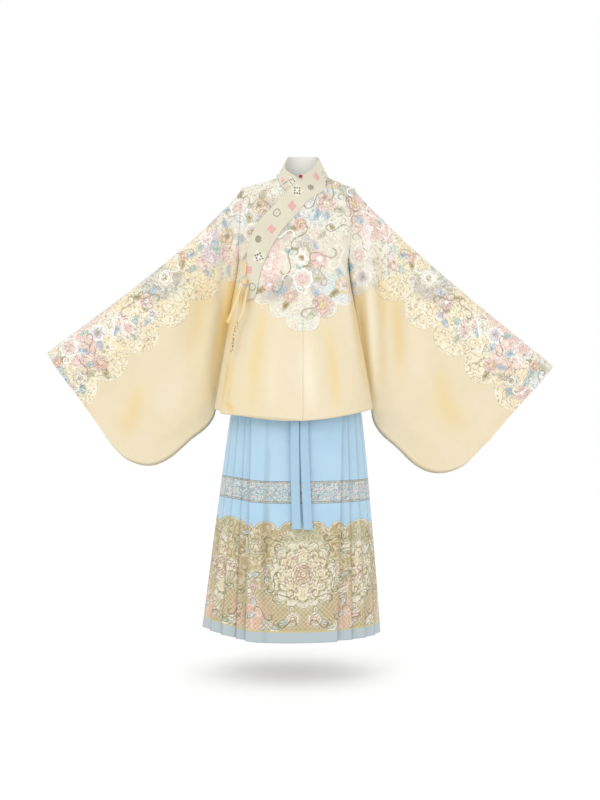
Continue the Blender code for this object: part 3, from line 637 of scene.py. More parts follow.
# Each crease: the places along it as (x, z), its depth (a trough is negative), its half width, and
# where it shows: the front, the back or both, on the trunk or a sleeve.
FRONT, BACK, BOTH = "front", "back", "both"
TRUNK_CREASES = (
    (((-0.150, -0.120), (-0.165, -0.230), (-0.185, -0.350), (-0.200, -0.480)), 0.0040, 0.016, BOTH),
    (((-0.168, -0.200), (-0.190, -0.330), (-0.215, -0.470), (-0.235, -0.600)), -0.0045, 0.011, BOTH),
    (((-0.205, -0.590), (-0.222, -0.615), (-0.205, -0.632)), -0.0030, 0.007, FRONT),
    (((-0.110, -0.420), (-0.125, -0.520), (-0.150, -0.670)), -0.0035, 0.022, FRONT),
    (((-0.060, -0.470), (-0.070, -0.560), (-0.085, -0.690)), 0.0030, 0.020, FRONT),
    (((0.020, -0.440), (0.024, -0.560), (0.034, -0.695)), 0.0028, 0.018, FRONT),
    (((0.060, -0.380), (0.072, -0.520), (0.092, -0.690)), -0.0036, 0.020, FRONT),
    (((0.106, -0.120), (0.112, -0.240), (0.128, -0.420), (0.150, -0.660)), 0.0048, 0.017, FRONT),
    (((0.128, -0.160), (0.134, -0.250), (0.150, -0.380), (0.172, -0.560)), -0.0042, 0.011, FRONT),
    (((0.085, -0.060), (0.098, -0.140), (0.100, -0.230)), -0.0034, 0.014, FRONT),
    (((0.060, -0.010), (0.110, -0.050), (0.138, -0.110)), 0.0026, 0.012, FRONT),
    (((-0.090, -0.020), (-0.130, -0.060), (-0.160, -0.130)), 0.0026, 0.012, FRONT),
    (((-0.120, -0.010), (-0.152, -0.060), (-0.172, -0.140)), -0.0026, 0.010, FRONT),
    (((-0.020, -0.200), (-0.030, -0.300), (-0.028, -0.420)), 0.0016, 0.030, FRONT),
    (((0.120, -0.060), (0.118, -0.200), (0.132, -0.400), (0.150, -0.640)), 0.0046, 0.020, BACK),
    (((0.092, -0.090), (0.090, -0.240), (0.100, -0.430)), -0.0040, 0.014, BACK),
    (((-0.130, -0.070), (-0.135, -0.210), (-0.150, -0.410), (-0.172, -0.650)), 0.0044, 0.020, BACK),
    (((-0.096, -0.100), (-0.100, -0.260), (-0.110, -0.470)), -0.0038, 0.013, BACK),
    (((-0.020, -0.330), (-0.024, -0.480), (-0.040, -0.690)), -0.0034, 0.022, BACK),
    (((0.045, -0.360), (0.050, -0.520), (0.062, -0.690)), 0.0030, 0.018, BACK),
    (((-0.075, -0.420), (-0.085, -0.560), (-0.105, -0.690)), 0.0028, 0.017, BACK),
    (((-0.060, -0.020), (-0.020, -0.045), (0.030, -0.040), (0.065, -0.018)), -0.0022, 0.010, BACK),
)
SLEEVE_CREASES = (
    (((-0.182, -0.030), (-0.196, -0.140), (-0.212, -0.260)), 0.0060, 0.012, BOTH),
    (((-0.205, -0.060), (-0.218, -0.170), (-0.236, -0.330), (-0.262, -0.520)), -0.0034, 0.013, BOTH),
    (((-0.228, -0.100), (-0.250, -0.240), (-0.275, -0.400), (-0.292, -0.560)), 0.0046, 0.020, FRONT),
    (((-0.262, -0.180), (-0.300, -0.330), (-0.330, -0.500), (-0.345, -0.640)), -0.0036, 0.026, FRONT),
    (((-0.330, -0.240), (-0.390, -0.420), (-0.420, -0.600)), 0.0040, 0.030, FRONT),
    (((-0.420, -0.330), (-0.480, -0.480), (-0.490, -0.660)), -0.0030, 0.026, FRONT),
    (((-0.520, -0.400), (-0.570, -0.500), (-0.580, -0.620)), 0.0030, 0.024, FRONT),
    (((-0.300, -0.640), (-0.370, -0.700), (-0.440, -0.740)), 0.0022, 0.018, FRONT),
    (
        ((0.158, -0.030), (0.176, -0.150), (0.188, -0.300), (0.200, -0.470), (0.214, -0.620)),
        0.0078,
        0.014,
        FRONT,
    ),
    (((0.182, -0.060), (0.202, -0.180), (0.212, -0.310), (0.226, -0.470)), -0.0040, 0.011, FRONT),
    (((0.236, -0.150), (0.262, -0.260), (0.276, -0.400), (0.284, -0.560)), -0.0066, 0.022, FRONT),
    (((0.205, -0.110), (0.235, -0.250), (0.246, -0.400), (0.250, -0.560)), 0.0050, 0.018, FRONT),
    (((0.300, -0.200), (0.340, -0.340), (0.362, -0.500)), 0.0040, 0.028, FRONT),
    (((0.380, -0.290), (0.430, -0.430), (0.448, -0.600)), -0.0032, 0.026, FRONT),
    (((0.470, -0.370), (0.520, -0.480), (0.530, -0.640)), 0.0030, 0.026, FRONT),
    (((0.270, -0.650), (0.330, -0.720), (0.400, -0.770)), 0.0022, 0.018, FRONT),
    (((0.170, -0.050), (0.186, -0.180), (0.198, -0.330), (0.206, -0.500)), 0.0062, 0.015, BACK),
    (((0.205, -0.090), (0.232, -0.240), (0.246, -0.420)), -0.0056, 0.016, BACK),
    (((0.280, -0.180), (0.320, -0.340), (0.340, -0.520)), 0.0046, 0.026, BACK),
    (((0.400, -0.290), (0.440, -0.440), (0.450, -0.600)), -0.0034, 0.026, BACK),
    (((-0.240, -0.110), (-0.262, -0.260), (-0.284, -0.430)), 0.0050, 0.018, BACK),
    (((-0.300, -0.190), (-0.340, -0.350), (-0.362, -0.540)), -0.0040, 0.026, BACK),
    (((-0.430, -0.310), (-0.470, -0.460), (-0.482, -0.620)), 0.0036, 0.028, BACK),
)


def smooth_path(places, count=40):
    """A smooth line through the places, as so many points."""
    at = [{"i": float(i), "x": x, "z": z} for i, (x, z) in enumerate(places)]
    t = np.linspace(0.0, len(places) - 1, count)
    return np.stack([read(at, "i", "x", t), read(at, "i", "z", t)], axis=-1)


def near_path(x, z, path):
    """Each point's signed distance to a path, and its share of the path's length."""
    best = np.full(x.shape, 9.0)
    share, sign = np.zeros(x.shape), np.ones(x.shape)
    for i, (a, b) in enumerate(zip(path, path[1:])):
        along = b - a
        length = max(along @ along, 1e-12)
        t = np.clip(((x - a[0]) * along[0] + (z - a[1]) * along[1]) / length, 0.0, 1.0)
        dx, dz = x - a[0] - t * along[0], z - a[1] - t * along[1]
        away = np.hypot(dx, dz)
        closer = away < best
        best = np.where(closer, away, best)
        share = np.where(closer, (i + t) / (len(path) - 1), share)
        sign = np.where(closer, np.sign(along[0] * dz - along[1] * dx), sign)
    return best * np.where(sign == 0.0, 1.0, sign), share


def crease_relief(x, z, side, creases):
    """How far the creases push a surface out, at the points (x, z) of its front or back."""
    total = np.zeros(x.shape)
    for places, depth, width, where in creases:
        if where not in (BOTH, FRONT if side < 0 else BACK):
            continue
        low = np.min(places, axis=0) - 4 * width
        high = np.max(places, axis=0) + 4 * width
        close = (x > low[0]) & (x < high[0]) & (z > low[1]) & (z < high[1])
        if not close.any():
            continue
        away, share = near_path(x[close], z[close], smooth_path(places, 24))
        lean = away / width
        shape = np.exp(
            -(lean**2)) - 0.22 * np.exp(-((lean - 1.9) ** 2)) - 0.16 * np.exp(-((lean + 2.1) ** 2)
        )
        total[close] += depth * shape * np.sin(math.pi * np.clip(0.04 + 0.92 * share, 0, 1)) ** 0.7
    return total


def ripple(x, z):
    """Slight unevenness of a hanging satin."""
    a = np.sin(31.0 * x + 4.0 * np.sin(9.0 * z)) * np.sin(7.0 * z + 2.0)
    b = np.sin(57.0 * x - 11.0 * z + 1.7) * np.sin(13.0 * z + 21.0 * x)
    return 0.0005 * a + 0.0003 * b


# Painted shade and painted highlight along the satin's folds: the places, the amount (painted shade is
# negative, painted highlight positive), the half width, and the side it shows on.
TRUNK_PAINTED_LIGHT = (
    (((-0.168, -0.048), (-0.176, -0.110), (-0.192, -0.200)), 0.9, 0.0055, FRONT),
    (((-0.150, -0.070), (-0.160, -0.150), (-0.172, -0.215)), -0.45, 0.008, FRONT),
    (((-0.178, -0.215), (-0.196, -0.300), (-0.214, -0.400), (-0.222, -0.470)), -1.0, 0.011, BOTH),
    (((-0.167, -0.225), (-0.184, -0.320), (-0.200, -0.420), (-0.212, -0.530)), 0.55, 0.009, FRONT),
    (((-0.205, -0.470), (-0.214, -0.560), (-0.228, -0.640)), -0.55, 0.016, FRONT),
    (((-0.225, -0.625), (-0.208, -0.650), (-0.196, -0.660)), -1.0, 0.007, FRONT),
    (((-0.110, -0.360), (-0.130, -0.480), (-0.150, -0.650)), -0.45, 0.020, FRONT),
    (((0.010, -0.440), (0.016, -0.560), (0.024, -0.660)), 0.75, 0.024, FRONT),
    (((-0.080, -0.470), (-0.086, -0.560), (-0.092, -0.660)), 0.35, 0.016, FRONT),
    (((0.072, -0.430), (0.086, -0.540), (0.098, -0.660)), -0.50, 0.018, FRONT),
    (((0.118, -0.180), (0.124, -0.300), (0.140, -0.440), (0.164, -0.620)), 0.65, 0.013, FRONT),
    (((0.134, -0.210), (0.146, -0.330), (0.164, -0.470), (0.186, -0.600)), -0.50, 0.010, FRONT),
    (((0.120, -0.070), (0.132, -0.130), (0.137, -0.200)), 0.7, 0.0055, FRONT),
    (((0.120, -0.090), (0.116, -0.240), (0.130, -0.420), (0.150, -0.640)), 0.55, 0.020, BACK),
    (((-0.130, -0.090), (-0.138, -0.250), (-0.154, -0.440)), 0.50, 0.018, BACK),
    (((-0.020, -0.340), (-0.026, -0.500), (-0.040, -0.680)), -0.50, 0.022, BACK),
    (((0.060, -0.400), (0.070, -0.560), (0.086, -0.680)), -0.45, 0.018, BACK),
)
SLEEVE_PAINTED_LIGHT = (
    (((-0.178, -0.040), (-0.190, -0.130), (-0.204, -0.230)), 0.9, 0.008, FRONT),
    (
        ((-0.197, -0.190), (-0.2126, -0.3035), (-0.2332, -0.4068), (-0.248, -0.4805), (-0.264, -0.620)),
        -1.0,
        0.018,
        BOTH,
    ),
    (((-0.222, -0.190), (-0.246, -0.330), (-0.262, -0.470)), 0.45, 0.012, FRONT),
    (((-0.262, -0.200), (-0.300, -0.360), (-0.325, -0.520)), -0.35, 0.026, FRONT),
    (((-0.480, -0.580), (-0.500, -0.670), (-0.540, -0.730)), -0.45, 0.030, FRONT),
    (((-0.340, -0.480), (-0.370, -0.590), (-0.420, -0.680)), 0.40, 0.035, FRONT),
    (
        ((0.150, -0.020), (0.186, -0.120), (0.196, -0.250), (0.204, -0.400), (0.216, -0.600)),
        1.0,
        0.009,
        FRONT,
    ),
    (((0.158, -0.270), (0.170, -0.360), (0.184, -0.480), (0.204, -0.620)), -0.70, 0.010, BOTH),
    (((0.222, -0.190), (0.236, -0.300), (0.246, -0.420)), -0.35, 0.012, FRONT),
    (((0.262, -0.300), (0.276, -0.420), (0.286, -0.560)), -0.50, 0.016, FRONT),
    (((0.300, -0.260), (0.326, -0.420), (0.350, -0.580)), 0.40, 0.026, FRONT),
    (((0.400, -0.520), (0.420, -0.640), (0.470, -0.720)), -0.40, 0.030, FRONT),
    (((0.180, -0.060), (0.196, -0.220), (0.208, -0.400)), 0.7, 0.012, BACK),
    (((-0.190, -0.060), (-0.206, -0.220), (-0.222, -0.380)), 0.7, 0.012, BACK),
    (((0.280, -0.220), (0.320, -0.420), (0.340, -0.560)), -0.45, 0.026, BACK),
    (((-0.300, -0.240), (-0.350, -0.440), (-0.370, -0.600)), -0.45, 0.026, BACK),
)


def painted_fold_light(x, z, side, painted_light_marks):
    """How strongly painted shade (first) and painted highlight (second) lie at the points of its front or
    back.
    """
    deep, painted_highlight = np.zeros(x.shape), np.zeros(x.shape)
    for places, amount, width, where in painted_light_marks:
        if where not in (BOTH, FRONT if side < 0 else BACK):
            continue
        away, share = near_path(x, z, smooth_path(places, 24))
        ends = np.sin(math.pi * np.clip(0.02 + 0.96 * share, 0, 1)) ** 0.6
        shape = abs(amount) * np.exp(-((away / width) ** 2)) * ends
        if amount < 0:
            deep = np.maximum(deep, shape)
        else:
            painted_highlight = np.maximum(painted_highlight, shape)
    return np.stack([deep, painted_highlight, 0.0 * deep], axis=-1)


# --- the woven design ----------------------------------------------------------------------------


def linear(red, green, blue):
    """A colour given as it looks on a screen, in linear light."""
    values = np.array((red, green, blue)) / 255.0
    return np.where(values <= 0.04045, values / 12.92, ((values + 0.055) / 1.055) ** 2.4)


THREADS = {
    "silver": linear(200, 196, 180),
    "mist": linear(219, 226, 222),
    "ivory": linear(233, 229, 208),
    "cream": linear(240, 228, 190),
    "white": linear(250, 248, 240),
    "blush": linear(236, 208, 196),
    "pink": linear(230, 194, 188),
    "rose": linear(222, 166, 160),
    "salmon": linear(224, 178, 156),
    "lilac": linear(220, 206, 214),
    "blue": linear(150, 182, 200),
    "steel": linear(166, 186, 198),
    "teal": linear(160, 190, 180),
    "sage": linear(186, 186, 152),
    "olive": linear(158, 142, 84),
    "gold": linear(226, 200, 140),
    "yellow": linear(238, 224, 150),
    "grey": linear(160, 158, 144),
    "ink": linear(78, 74, 70),
    "sky": linear(186, 216, 234),
    "tan": linear(186, 169, 126),
}
# A bloom's petals, inner petals and heart.
BLOOM_THREADS = {
    "pink": ("blush", "pink", "cream"),
    "rose": ("blush", "pink", "white"),
    "salmon": ("pink", "salmon", "gold"),
    "blush": ("white", "blush", "pink"),
    "lilac": ("white", "lilac", "grey"),
    "ivory": ("ivory", "white", "olive"),
    "gold": ("gold", "blush", "olive"),
    "cream": ("white", "cream", "rose"),
    "sage": ("sage", "ivory", "gold"),
}
GOLD_GROUND = THREADS["gold"]
SOFT = 0.0016  # how softly one colour gives way to the next
REACH = 0.004  # how far from a drawn line its distance is kept
FAR = 0.010


class Weaving:
    """The design at a sheet's points (p, q), woven motif over motif."""

    def __init__(self, p, q, ground):
        self.p, self.q = p, q
        self.tint = np.broadcast_to(ground, p.shape + (3,)).copy()
        self.cover = np.zeros(p.shape)
        self.outline = np.full(p.shape, FAR)
        self.dark = np.full(p.shape, FAR)
        self.light = np.full(p.shape, FAR)
        self.near = {"dark": np.zeros(p.shape), "light": np.zeros(p.shape)}

    def close(self, p, q, reach):
        return (np.abs(self.p - p) < reach) & (np.abs(self.q - q) < reach)

    def dye(self, where, colour, amount):
        amount = np.asarray(amount)
        amount = np.clip(amount[where] if amount.shape == where.shape else amount, 0.0, 1.0)[:, None]
        self.tint[where] = mix(self.tint[where], THREADS[colour], amount)

    def draw(self, where, away):
        """Keeps the outline at which the distance away is zero, inside and just around it."""
        away = away[where] if away.shape == where.shape else away
        kept = self.outline[where]
        self.outline[where] = np.where(away < REACH, np.maximum(away, -FAR), kept)

    def wash(self, p, q, long, wide, turn, colour):
        where = self.close(p, q, 1.6 * max(long, wide))
        dp, dq = self.p[where] - p, self.q[where] - q
        a = (dp * math.cos(turn) + dq * math.sin(turn)) / long
        b = (dq * math.cos(turn) - dp * math.sin(turn)) / wide
        self.dye(where, colour, ease((1.25 - np.hypot(a, b)) / 0.6))

    def ground(self, edge, colour, soft_below=-9.0):
        """Covers the inside of a closed edge, which fades out softly below a height."""
        away, inside = np.full(self.p.shape, 9.0), np.zeros(self.p.shape, bool)
        for (ap, aq), (bp, bq) in zip(edge, edge[1:] + edge[:1]):
            dp, dq = bp - ap, bq - aq
            t = np.clip(((self.p - ap) * dp + (self.q - aq) * dq) / (dp * dp + dq * dq), 0, 1)
            away = np.minimum(away, np.hypot(self.p - ap - t * dp, self.q - aq - t * dq))
            crosses = (aq > self.q) != (bq > self.q)
            with np.errstate(divide="ignore", invalid="ignore"):
                inside ^= crosses & (self.p < dp * (self.q - aq) / (dq if dq else 1e-9) + ap)
        away = np.where(inside, -away, away)
        below = ease((soft_below - self.q) / 0.04)
        cover = np.clip(0.5 - away / mix(0.008, 0.090, below), 0.0, 1.0)
        self.cover = np.maximum(self.cover, cover)
        everywhere = np.ones(self.p.shape, bool)
        self.dye(everywhere, colour, 0.5 - (away - 0.010 * below) / 0.004)
        self.draw(everywhere, np.where(below > 0.2, FAR, away))

    def ring(self, p, q, radius, petals, turn, colour, strength=1.0):
        where = self.close(p, q, 1.3 * radius + REACH)
        dp, dq = self.p[where] - p, self.q[where] - q
        lobes = np.abs(np.cos(0.5 * petals * (np.arctan2(dq, dp) + turn))) ** 0.7
        away = np.hypot(dp, dq) - radius * (0.88 + 0.17 * lobes)
        self.dye(where, colour, strength * (0.5 - away / SOFT))
        self.draw(where, away)
        self.cover[where] = np.maximum(self.cover[where], np.clip(0.5 - away / 0.008, 0, 1))

    def bloom(self, p, q, radius, petals, turn, kind):
        outer, inner, heart = BLOOM_THREADS[kind]
        self.ring(p, q, radius, petals, turn, outer, 0.9)
        self.ring(p, q, 0.68 * radius, petals - 1, turn + 0.4, inner)
        self.ring(p, q, 0.34 * radius, max(5, petals - 3), turn, heart)

    def leaf(self, p, q, long, wide, turn, colour):
        where = self.close(p, q, long + REACH)
        dp, dq = self.p[where] - p, self.q[where] - q
        a = (dp * math.cos(turn) + dq * math.sin(turn)) / (0.62 * long)
        b = dq * math.cos(turn) - dp * math.sin(turn)
        away = np.abs(b) - 0.62 * wide * (1.0 - a * a)
        away = np.where(np.abs(a) > 1.0, np.maximum(away, 0.6 * long * (np.abs(a) - 1.0)), away)
        self.dye(where, colour, 0.5 - away / SOFT)
        self.draw(where, away)
        self.cover[where] = np.maximum(self.cover[where], np.clip(0.5 - away / 0.008, 0, 1))

    def scroll(self, places, colour):
        low, high = np.min(places, axis=0) - 0.012, np.max(places, axis=0) + 0.012
        where = (self.p > low[0]) & (self.p < high[0]) & (self.q > low[1]) & (self.q < high[1])
        if not where.any():
            return
        away, share = near_path(self.p[where], self.q[where], smooth_path(places, 60))
        kind = "light" if colour == "white" else "dark"
        kept = getattr(self, kind)
        closer = np.abs(away) < np.abs(kept[where])
        kept[where] = np.where(closer, away, kept[where])
        ends = ease(share / 0.04) * ease((1.0 - share) / 0.04)
        near = ease((0.0065 - np.abs(away)) / 0.003) * ends
        self.near[kind][where] = np.where(closer, near, self.near[kind][where])
        self.dye(where, colour, 0.55 * ease((0.0035 - np.abs(away)) / 0.003) * ends)

    def fields(self):
        """What the material reads at each point."""
        alpha = np.ones(self.p.shape)[..., None]
        return {
            "tint": np.concatenate([self.tint, alpha], axis=-1),
            "drawn": np.stack([self.outline, self.dark, self.light], axis=-1),
            "near": np.stack([self.cover, self.near["dark"], self.near["light"]], axis=-1),
        }


def weave(weaving, motifs):
    """Works a set of motifs into the design: washes, then leaves, blooms and scrolls."""
    washes, leaves, blooms, scrolls = motifs
    for row in washes:
        weaving.wash(*row)
    for row in leaves:
        weaving.leaf(*row)
    for row in blooms:
        weaving.bloom(*row)
    for row in scrolls:
        weaving.scroll(*row)


# Flowers, leaves, cloud scrolls and soft patches of colour are scattered by rule over the yoke, the
# upper sleeves and the foot of the skirt. The yoke's places are (x, z), a sleeve's run along and
# down from its ridge, and the skirt's run across from a door's middle and up from the hem.
DESIGN_SEED = 20
DOOR_REPEAT = 0.430  # the skirt's design repeats at this width
YOKE_CORNERS = ((-0.245, -0.240), (0.0, -0.430), (0.245, -0.240), (0.245, 0.160), (-0.245, 0.160))
YOKE_LOBES = (5, 5, 1, 1, 1)  # on the side from each corner to the next; a side with 1 is straight
ARM_CORNERS = ((-0.030, -0.020), (0.810, -0.020), (0.810, 0.150), (-0.030, 0.150))
ARM_LOBES = (1, 1, 7, 1)
DOOR_CORNERS = ((0.215, 0.315), (-0.215, 0.315), (-0.215, -0.050), (0.215, -0.050))
DOOR_LOBES = (6, 1, 1, 1)
HALF_DOOR = ((0.215, 0.315), (0.0, 0.315), (0.0, 0.0), (0.215, 0.0))
LOBE_STEPS, LOBE_RISE, LOBE_ROUND = 8, 0.32, 0.6  # a lobe's points, height by its width, and fullness
ROW_STEP, WANDER = 0.87, 0.30  # a scatter's row spacing and its random moves, by its pitch
YOKE_PITCH, ARM_PITCH, DOOR_PITCH = 0.086, 0.082, 0.070
BLOOM_SIZE, BLOOM_VARIES = 0.28, 0.10  # these sizes of motifs are shares of the pitch
LEAF_LONG, LEAF_WIDE, LEAF_AWAY, LEAF_SPREAD = 0.44, 0.16, 1.35, 0.9
PATCH_PITCH, PATCH_LONG, PATCH_WIDE, PATCH_VARIES = 1.5, 0.85, 0.52, 0.15
SCROLL_PITCH, SCROLL_HALF, SCROLL_CURL, SCROLL_POINTS = 0.95, 0.72, 4.6, 17
LEAF_THREADS = ("olive", "sage", "steel", "blue", "teal")
SCROLL_THREADS = ("olive", "grey", "white", "rose", "white")
YOKE_KINDS = ("pink", "salmon", "ivory", "rose", "blush", "gold", "lilac")
ARM_KINDS = ("pink", "lilac", "blush", "salmon", "ivory", "rose")
DOOR_KINDS = ("cream", "blush", "ivory", "salmon", "sage", "pink")
YOKE_PATCHES = ("silver", "mist", "blush", "silver", "ivory", "mist")
ARM_PATCHES = ("cream", "silver", "ivory", "blush", "mist", "lilac")
DOOR_PATCHES = ("tan", "sage", "tan", "salmon")


def scalloped(corners, lobes):
    """The edge through anticlockwise corners, with a side's lobes even, round and outwards."""
    edge = []
    for (ap, aq), (bp, bq), count in zip(corners, corners[1:] + corners[:1], lobes):
        dp, dq = bp - ap, bq - aq
        steps = LOBE_STEPS * count if count > 1 else 1
        for share in np.arange(steps) / steps:
            rise = LOBE_RISE / count * abs(math.sin(math.pi * count * share)) ** LOBE_ROUND
            edge.append((ap + share * dp + rise * dq, aq + share * dq - rise * dp))
    return tuple(edge)


def within(corners, p, q, margin):
    """Whether a place is inside anticlockwise corners by at least a margin."""
    for (ap, aq), (bp, bq) in zip(corners, corners[1:] + corners[:1]):
        dp, dq = bp - ap, bq - aq
        if (dp * (q - aq) - dq * (p - ap)) / math.hypot(dp, dq) < margin:
            return False
    return True


def scattered(draw, corners, pitch, margin):
    """Places on a staggered net, each moved at random, with a random turn and size."""
    low, high = np.min(corners, axis=0), np.max(corners, axis=0)
    places = []
    for row, q in enumerate(np.arange(low[1], high[1], ROW_STEP * pitch)):
        for p in np.arange(low[0] + 0.5 * pitch * (row % 2), high[0], pitch):
            dp, dq, turn, size = draw.uniform(-1.0, 1.0, 4)
            place = (p + WANDER * pitch * dp, q + WANDER * pitch * dq)
            if within(corners, *place, margin):
                places.append((*place, math.pi * turn, size))
    return places


def cloud_scroll(p, q, half, turn, hand):
    """A line through a place that curls up at both ends."""
    shares = np.linspace(-1.0, 1.0, SCROLL_POINTS)
    heading = turn + hand * SCROLL_CURL * shares**2
    steps = np.stack([np.cos(heading), np.sin(heading)], axis=-1) * half * (shares[1] - shares[0])
    line = np.cumsum(steps, axis=0)
    return tuple(map(tuple, line - line[SCROLL_POINTS // 2] + (p, q)))


def floral(seed, corners, pitch, kinds, patches):
    """The washes, leaves, blooms and scrolls of a stretch of brocade."""
    draw = np.random.default_rng(seed)
    washes, leaves, blooms, scrolls = [], [], [], []
    for i, (p, q, turn, size) in enumerate(scattered(draw, corners, PATCH_PITCH * pitch, 0.0)):
        wide = (PATCH_WIDE + PATCH_VARIES * size) * pitch
        washes.append((p, q, PATCH_LONG * pitch, wide, turn, patches[i % len(patches)]))
    for i, (p, q, turn, size) in enumerate(scattered(draw, corners, pitch, 0.25 * pitch)):
        radius = (BLOOM_SIZE + BLOOM_VARIES * size) * pitch
        blooms.append((p, q, radius, 7 + i % 3, turn, kinds[i % len(kinds)]))
        for j, angle in enumerate((turn + LEAF_SPREAD, turn - LEAF_SPREAD)):
            away = LEAF_AWAY * radius
            place = (p + away * math.cos(angle), q + away * math.sin(angle))
            thread = LEAF_THREADS[(i + 2 * j) % len(LEAF_THREADS)]
            leaves.append((*place, LEAF_LONG * pitch, LEAF_WIDE * pitch, angle, thread))
    for i, (p, q, turn, size) in enumerate(scattered(draw, corners, SCROLL_PITCH * pitch, 0.3 * pitch)):
        line = cloud_scroll(p, q, (1.0 + 0.2 * size) * SCROLL_HALF * pitch, turn, 1 - i % 2 * 2)
        scrolls.append((line, SCROLL_THREADS[i % len(SCROLL_THREADS)]))
    return washes, leaves, blooms, scrolls


def mirrored(motifs):
    """The motifs, and the same ones turned over to the other side of the line p = 0."""
    *rows, scrolls = motifs
    turned = [[(-row[0], *row[1:4], math.pi - row[4], row[5]) for row in kind] for kind in rows]
    lines = [(tuple((-p, q) for p, q in line), thread) for line, thread in scrolls]
    return (*(kind + other for kind, other in zip(rows, turned)), scrolls + lines)


ROUNDEL_HIGH, ROUNDEL_RADIUS, WREATH_BLOOMS = 0.190, 0.090, 8
ROUNDEL_RINGS = ((1.0, 16, "ivory"), (0.84, 12, "sage"), (0.78, 12, "cream"), (0.36, 8, "blush"))
WREATH_KINDS = ("blush", "cream")


def roundel(weaving, p, q, radius):
    """A medallion of rings, with a wreath of small blooms round a larger one."""
    weaving.wash(p, q, radius, radius, 0.0, "ivory")
    for share, petals, thread in ROUNDEL_RINGS:
        weaving.ring(p, q, share * radius, petals, 0.0, thread)
    for i in range(WREATH_BLOOMS):
        angle = math.tau * (i + 0.5) / WREATH_BLOOMS
        place = (p + 0.56 * radius * math.cos(angle), q + 0.56 * radius * math.sin(angle))
        weaving.bloom(*place, 0.15 * radius, 7, angle, WREATH_KINDS[i % 2])
    weaving.bloom(p, q, 0.26 * radius, 8, 0.0, "salmon")


RIDGE_LEFT = ((0.151, -0.002), (0.741, 0.672))  # where a sleeve's design starts, and which way it runs
RIDGE_RIGHT = ((-0.183, -0.002), (-0.753, 0.658))


def jacket_fields(points):
    """The design of the jacket at the rest points of a sheet: yoke, shoulders and sleeves."""
    x, z = points[..., 0], points[..., 2]
    weaving = Weaving(x, z, GOLD_GROUND)
    for (root_x, root_z), (along_x, along_z) in (RIDGE_LEFT, RIDGE_RIGHT):
        s = (x - root_x) * along_x + (root_z - z) * along_z
        t = -(x - root_x) * math.copysign(along_z, along_x) + (root_z - z) * abs(along_x)
        beyond = s > -0.02
        side = Weaving(np.where(beyond, s, -1.0), t, GOLD_GROUND)
        side.ground(scalloped(ARM_CORNERS, ARM_LOBES), "cream")
        weave(side, floral(DESIGN_SEED + 1, ARM_CORNERS, ARM_PITCH, ARM_KINDS, ARM_PATCHES))
        share = ease((s + 0.004) / 0.012)[..., None]
        weaving.tint = mix(weaving.tint, side.tint, share)
        share = share[..., 0] > 0.5
        weaving.cover = np.where(share, side.cover, weaving.cover)
        for name in ("outline", "dark", "light"):
            setattr(weaving, name, np.where(share, getattr(side, name), getattr(weaving, name)))
        for name, near in weaving.near.items():
            weaving.near[name] = np.where(share, side.near[name], near)
    weaving.ground(scalloped(YOKE_CORNERS, YOKE_LOBES), "ivory")
    weave(weaving, floral(DESIGN_SEED, YOKE_CORNERS, YOKE_PITCH, YOKE_KINDS, YOKE_PATCHES))
    return weaving.fields()


KNEE_LOW, KNEE_HIGH = 0.388, 0.449  # the narrow band above it


def skirt_fields(flat):
    """The design of the skirt by its place across the cut and above the hem."""
    a = np.mod(flat[..., 0] + 0.5 * DOOR_REPEAT, DOOR_REPEAT) - 0.5 * DOOR_REPEAT
    weaving = Weaving(a, flat[..., 1], THREADS["sky"])
    weaving.ground(scalloped(DOOR_CORNERS, DOOR_LOBES), "tan")
    weave(weaving, mirrored(floral(DESIGN_SEED + 2, HALF_DOOR, DOOR_PITCH, DOOR_KINDS, DOOR_PATCHES)))
    roundel(weaving, 0.0, ROUNDEL_HIGH, ROUNDEL_RADIUS)
    return weaving.fields()


# --- finishes ------------------------------------------------------------------------------------


class Value:
    """A number that varies over a surface; Python's operators add its Math nodes."""

    def __init__(self, finish, socket):
        self.finish, self.socket = finish, socket

    def math(self, operation, *others, clamp=False):
        settings = {"operation": operation, "use_clamp": clamp}
        inputs = {i: value for i, value in enumerate((self, *others))}
        return Value(self.finish, self.finish.node("ShaderNodeMath", settings, inputs).outputs[0])

    def reflected(self, operation, other):
        inputs = {0: other, 1: self}
        settings = {"operation": operation}
        return Value(self.finish, self.finish.node("ShaderNodeMath", settings, inputs).outputs[0])

    def __add__(self, other):
        return self.math("ADD", other)

    def __sub__(self, other):
        return self.math("SUBTRACT", other)

    def __mul__(self, other):
        return self.math("MULTIPLY", other)

    def __truediv__(self, other):
        return self.math("DIVIDE", other)

    def __rsub__(self, other):
        return self.reflected("SUBTRACT", other)

    __radd__ = __add__
    __rmul__ = __mul__

    def __abs__(self):
        return self.math("ABSOLUTE")

    def sine(self):
        return self.math("SINE")

    def most(self, other):
        return self.math("MAXIMUM", other)

    def within(self, low, high):
        """Rises smoothly from 0 at low to 1 at high, or falls where low is the larger."""
        inputs = {"Value": self, "From Min": low, "From Max": high}
        made = self.finish.node("ShaderNodeMapRange", {"interpolation_type": "SMOOTHSTEP"}, inputs)
        return Value(self.finish, made.outputs[0])

    def line(self, half, soft=0.0003):
        """One on a line where this distance is under half, falling to 0 just outside."""
        return abs(self).within(half + soft, half - soft)


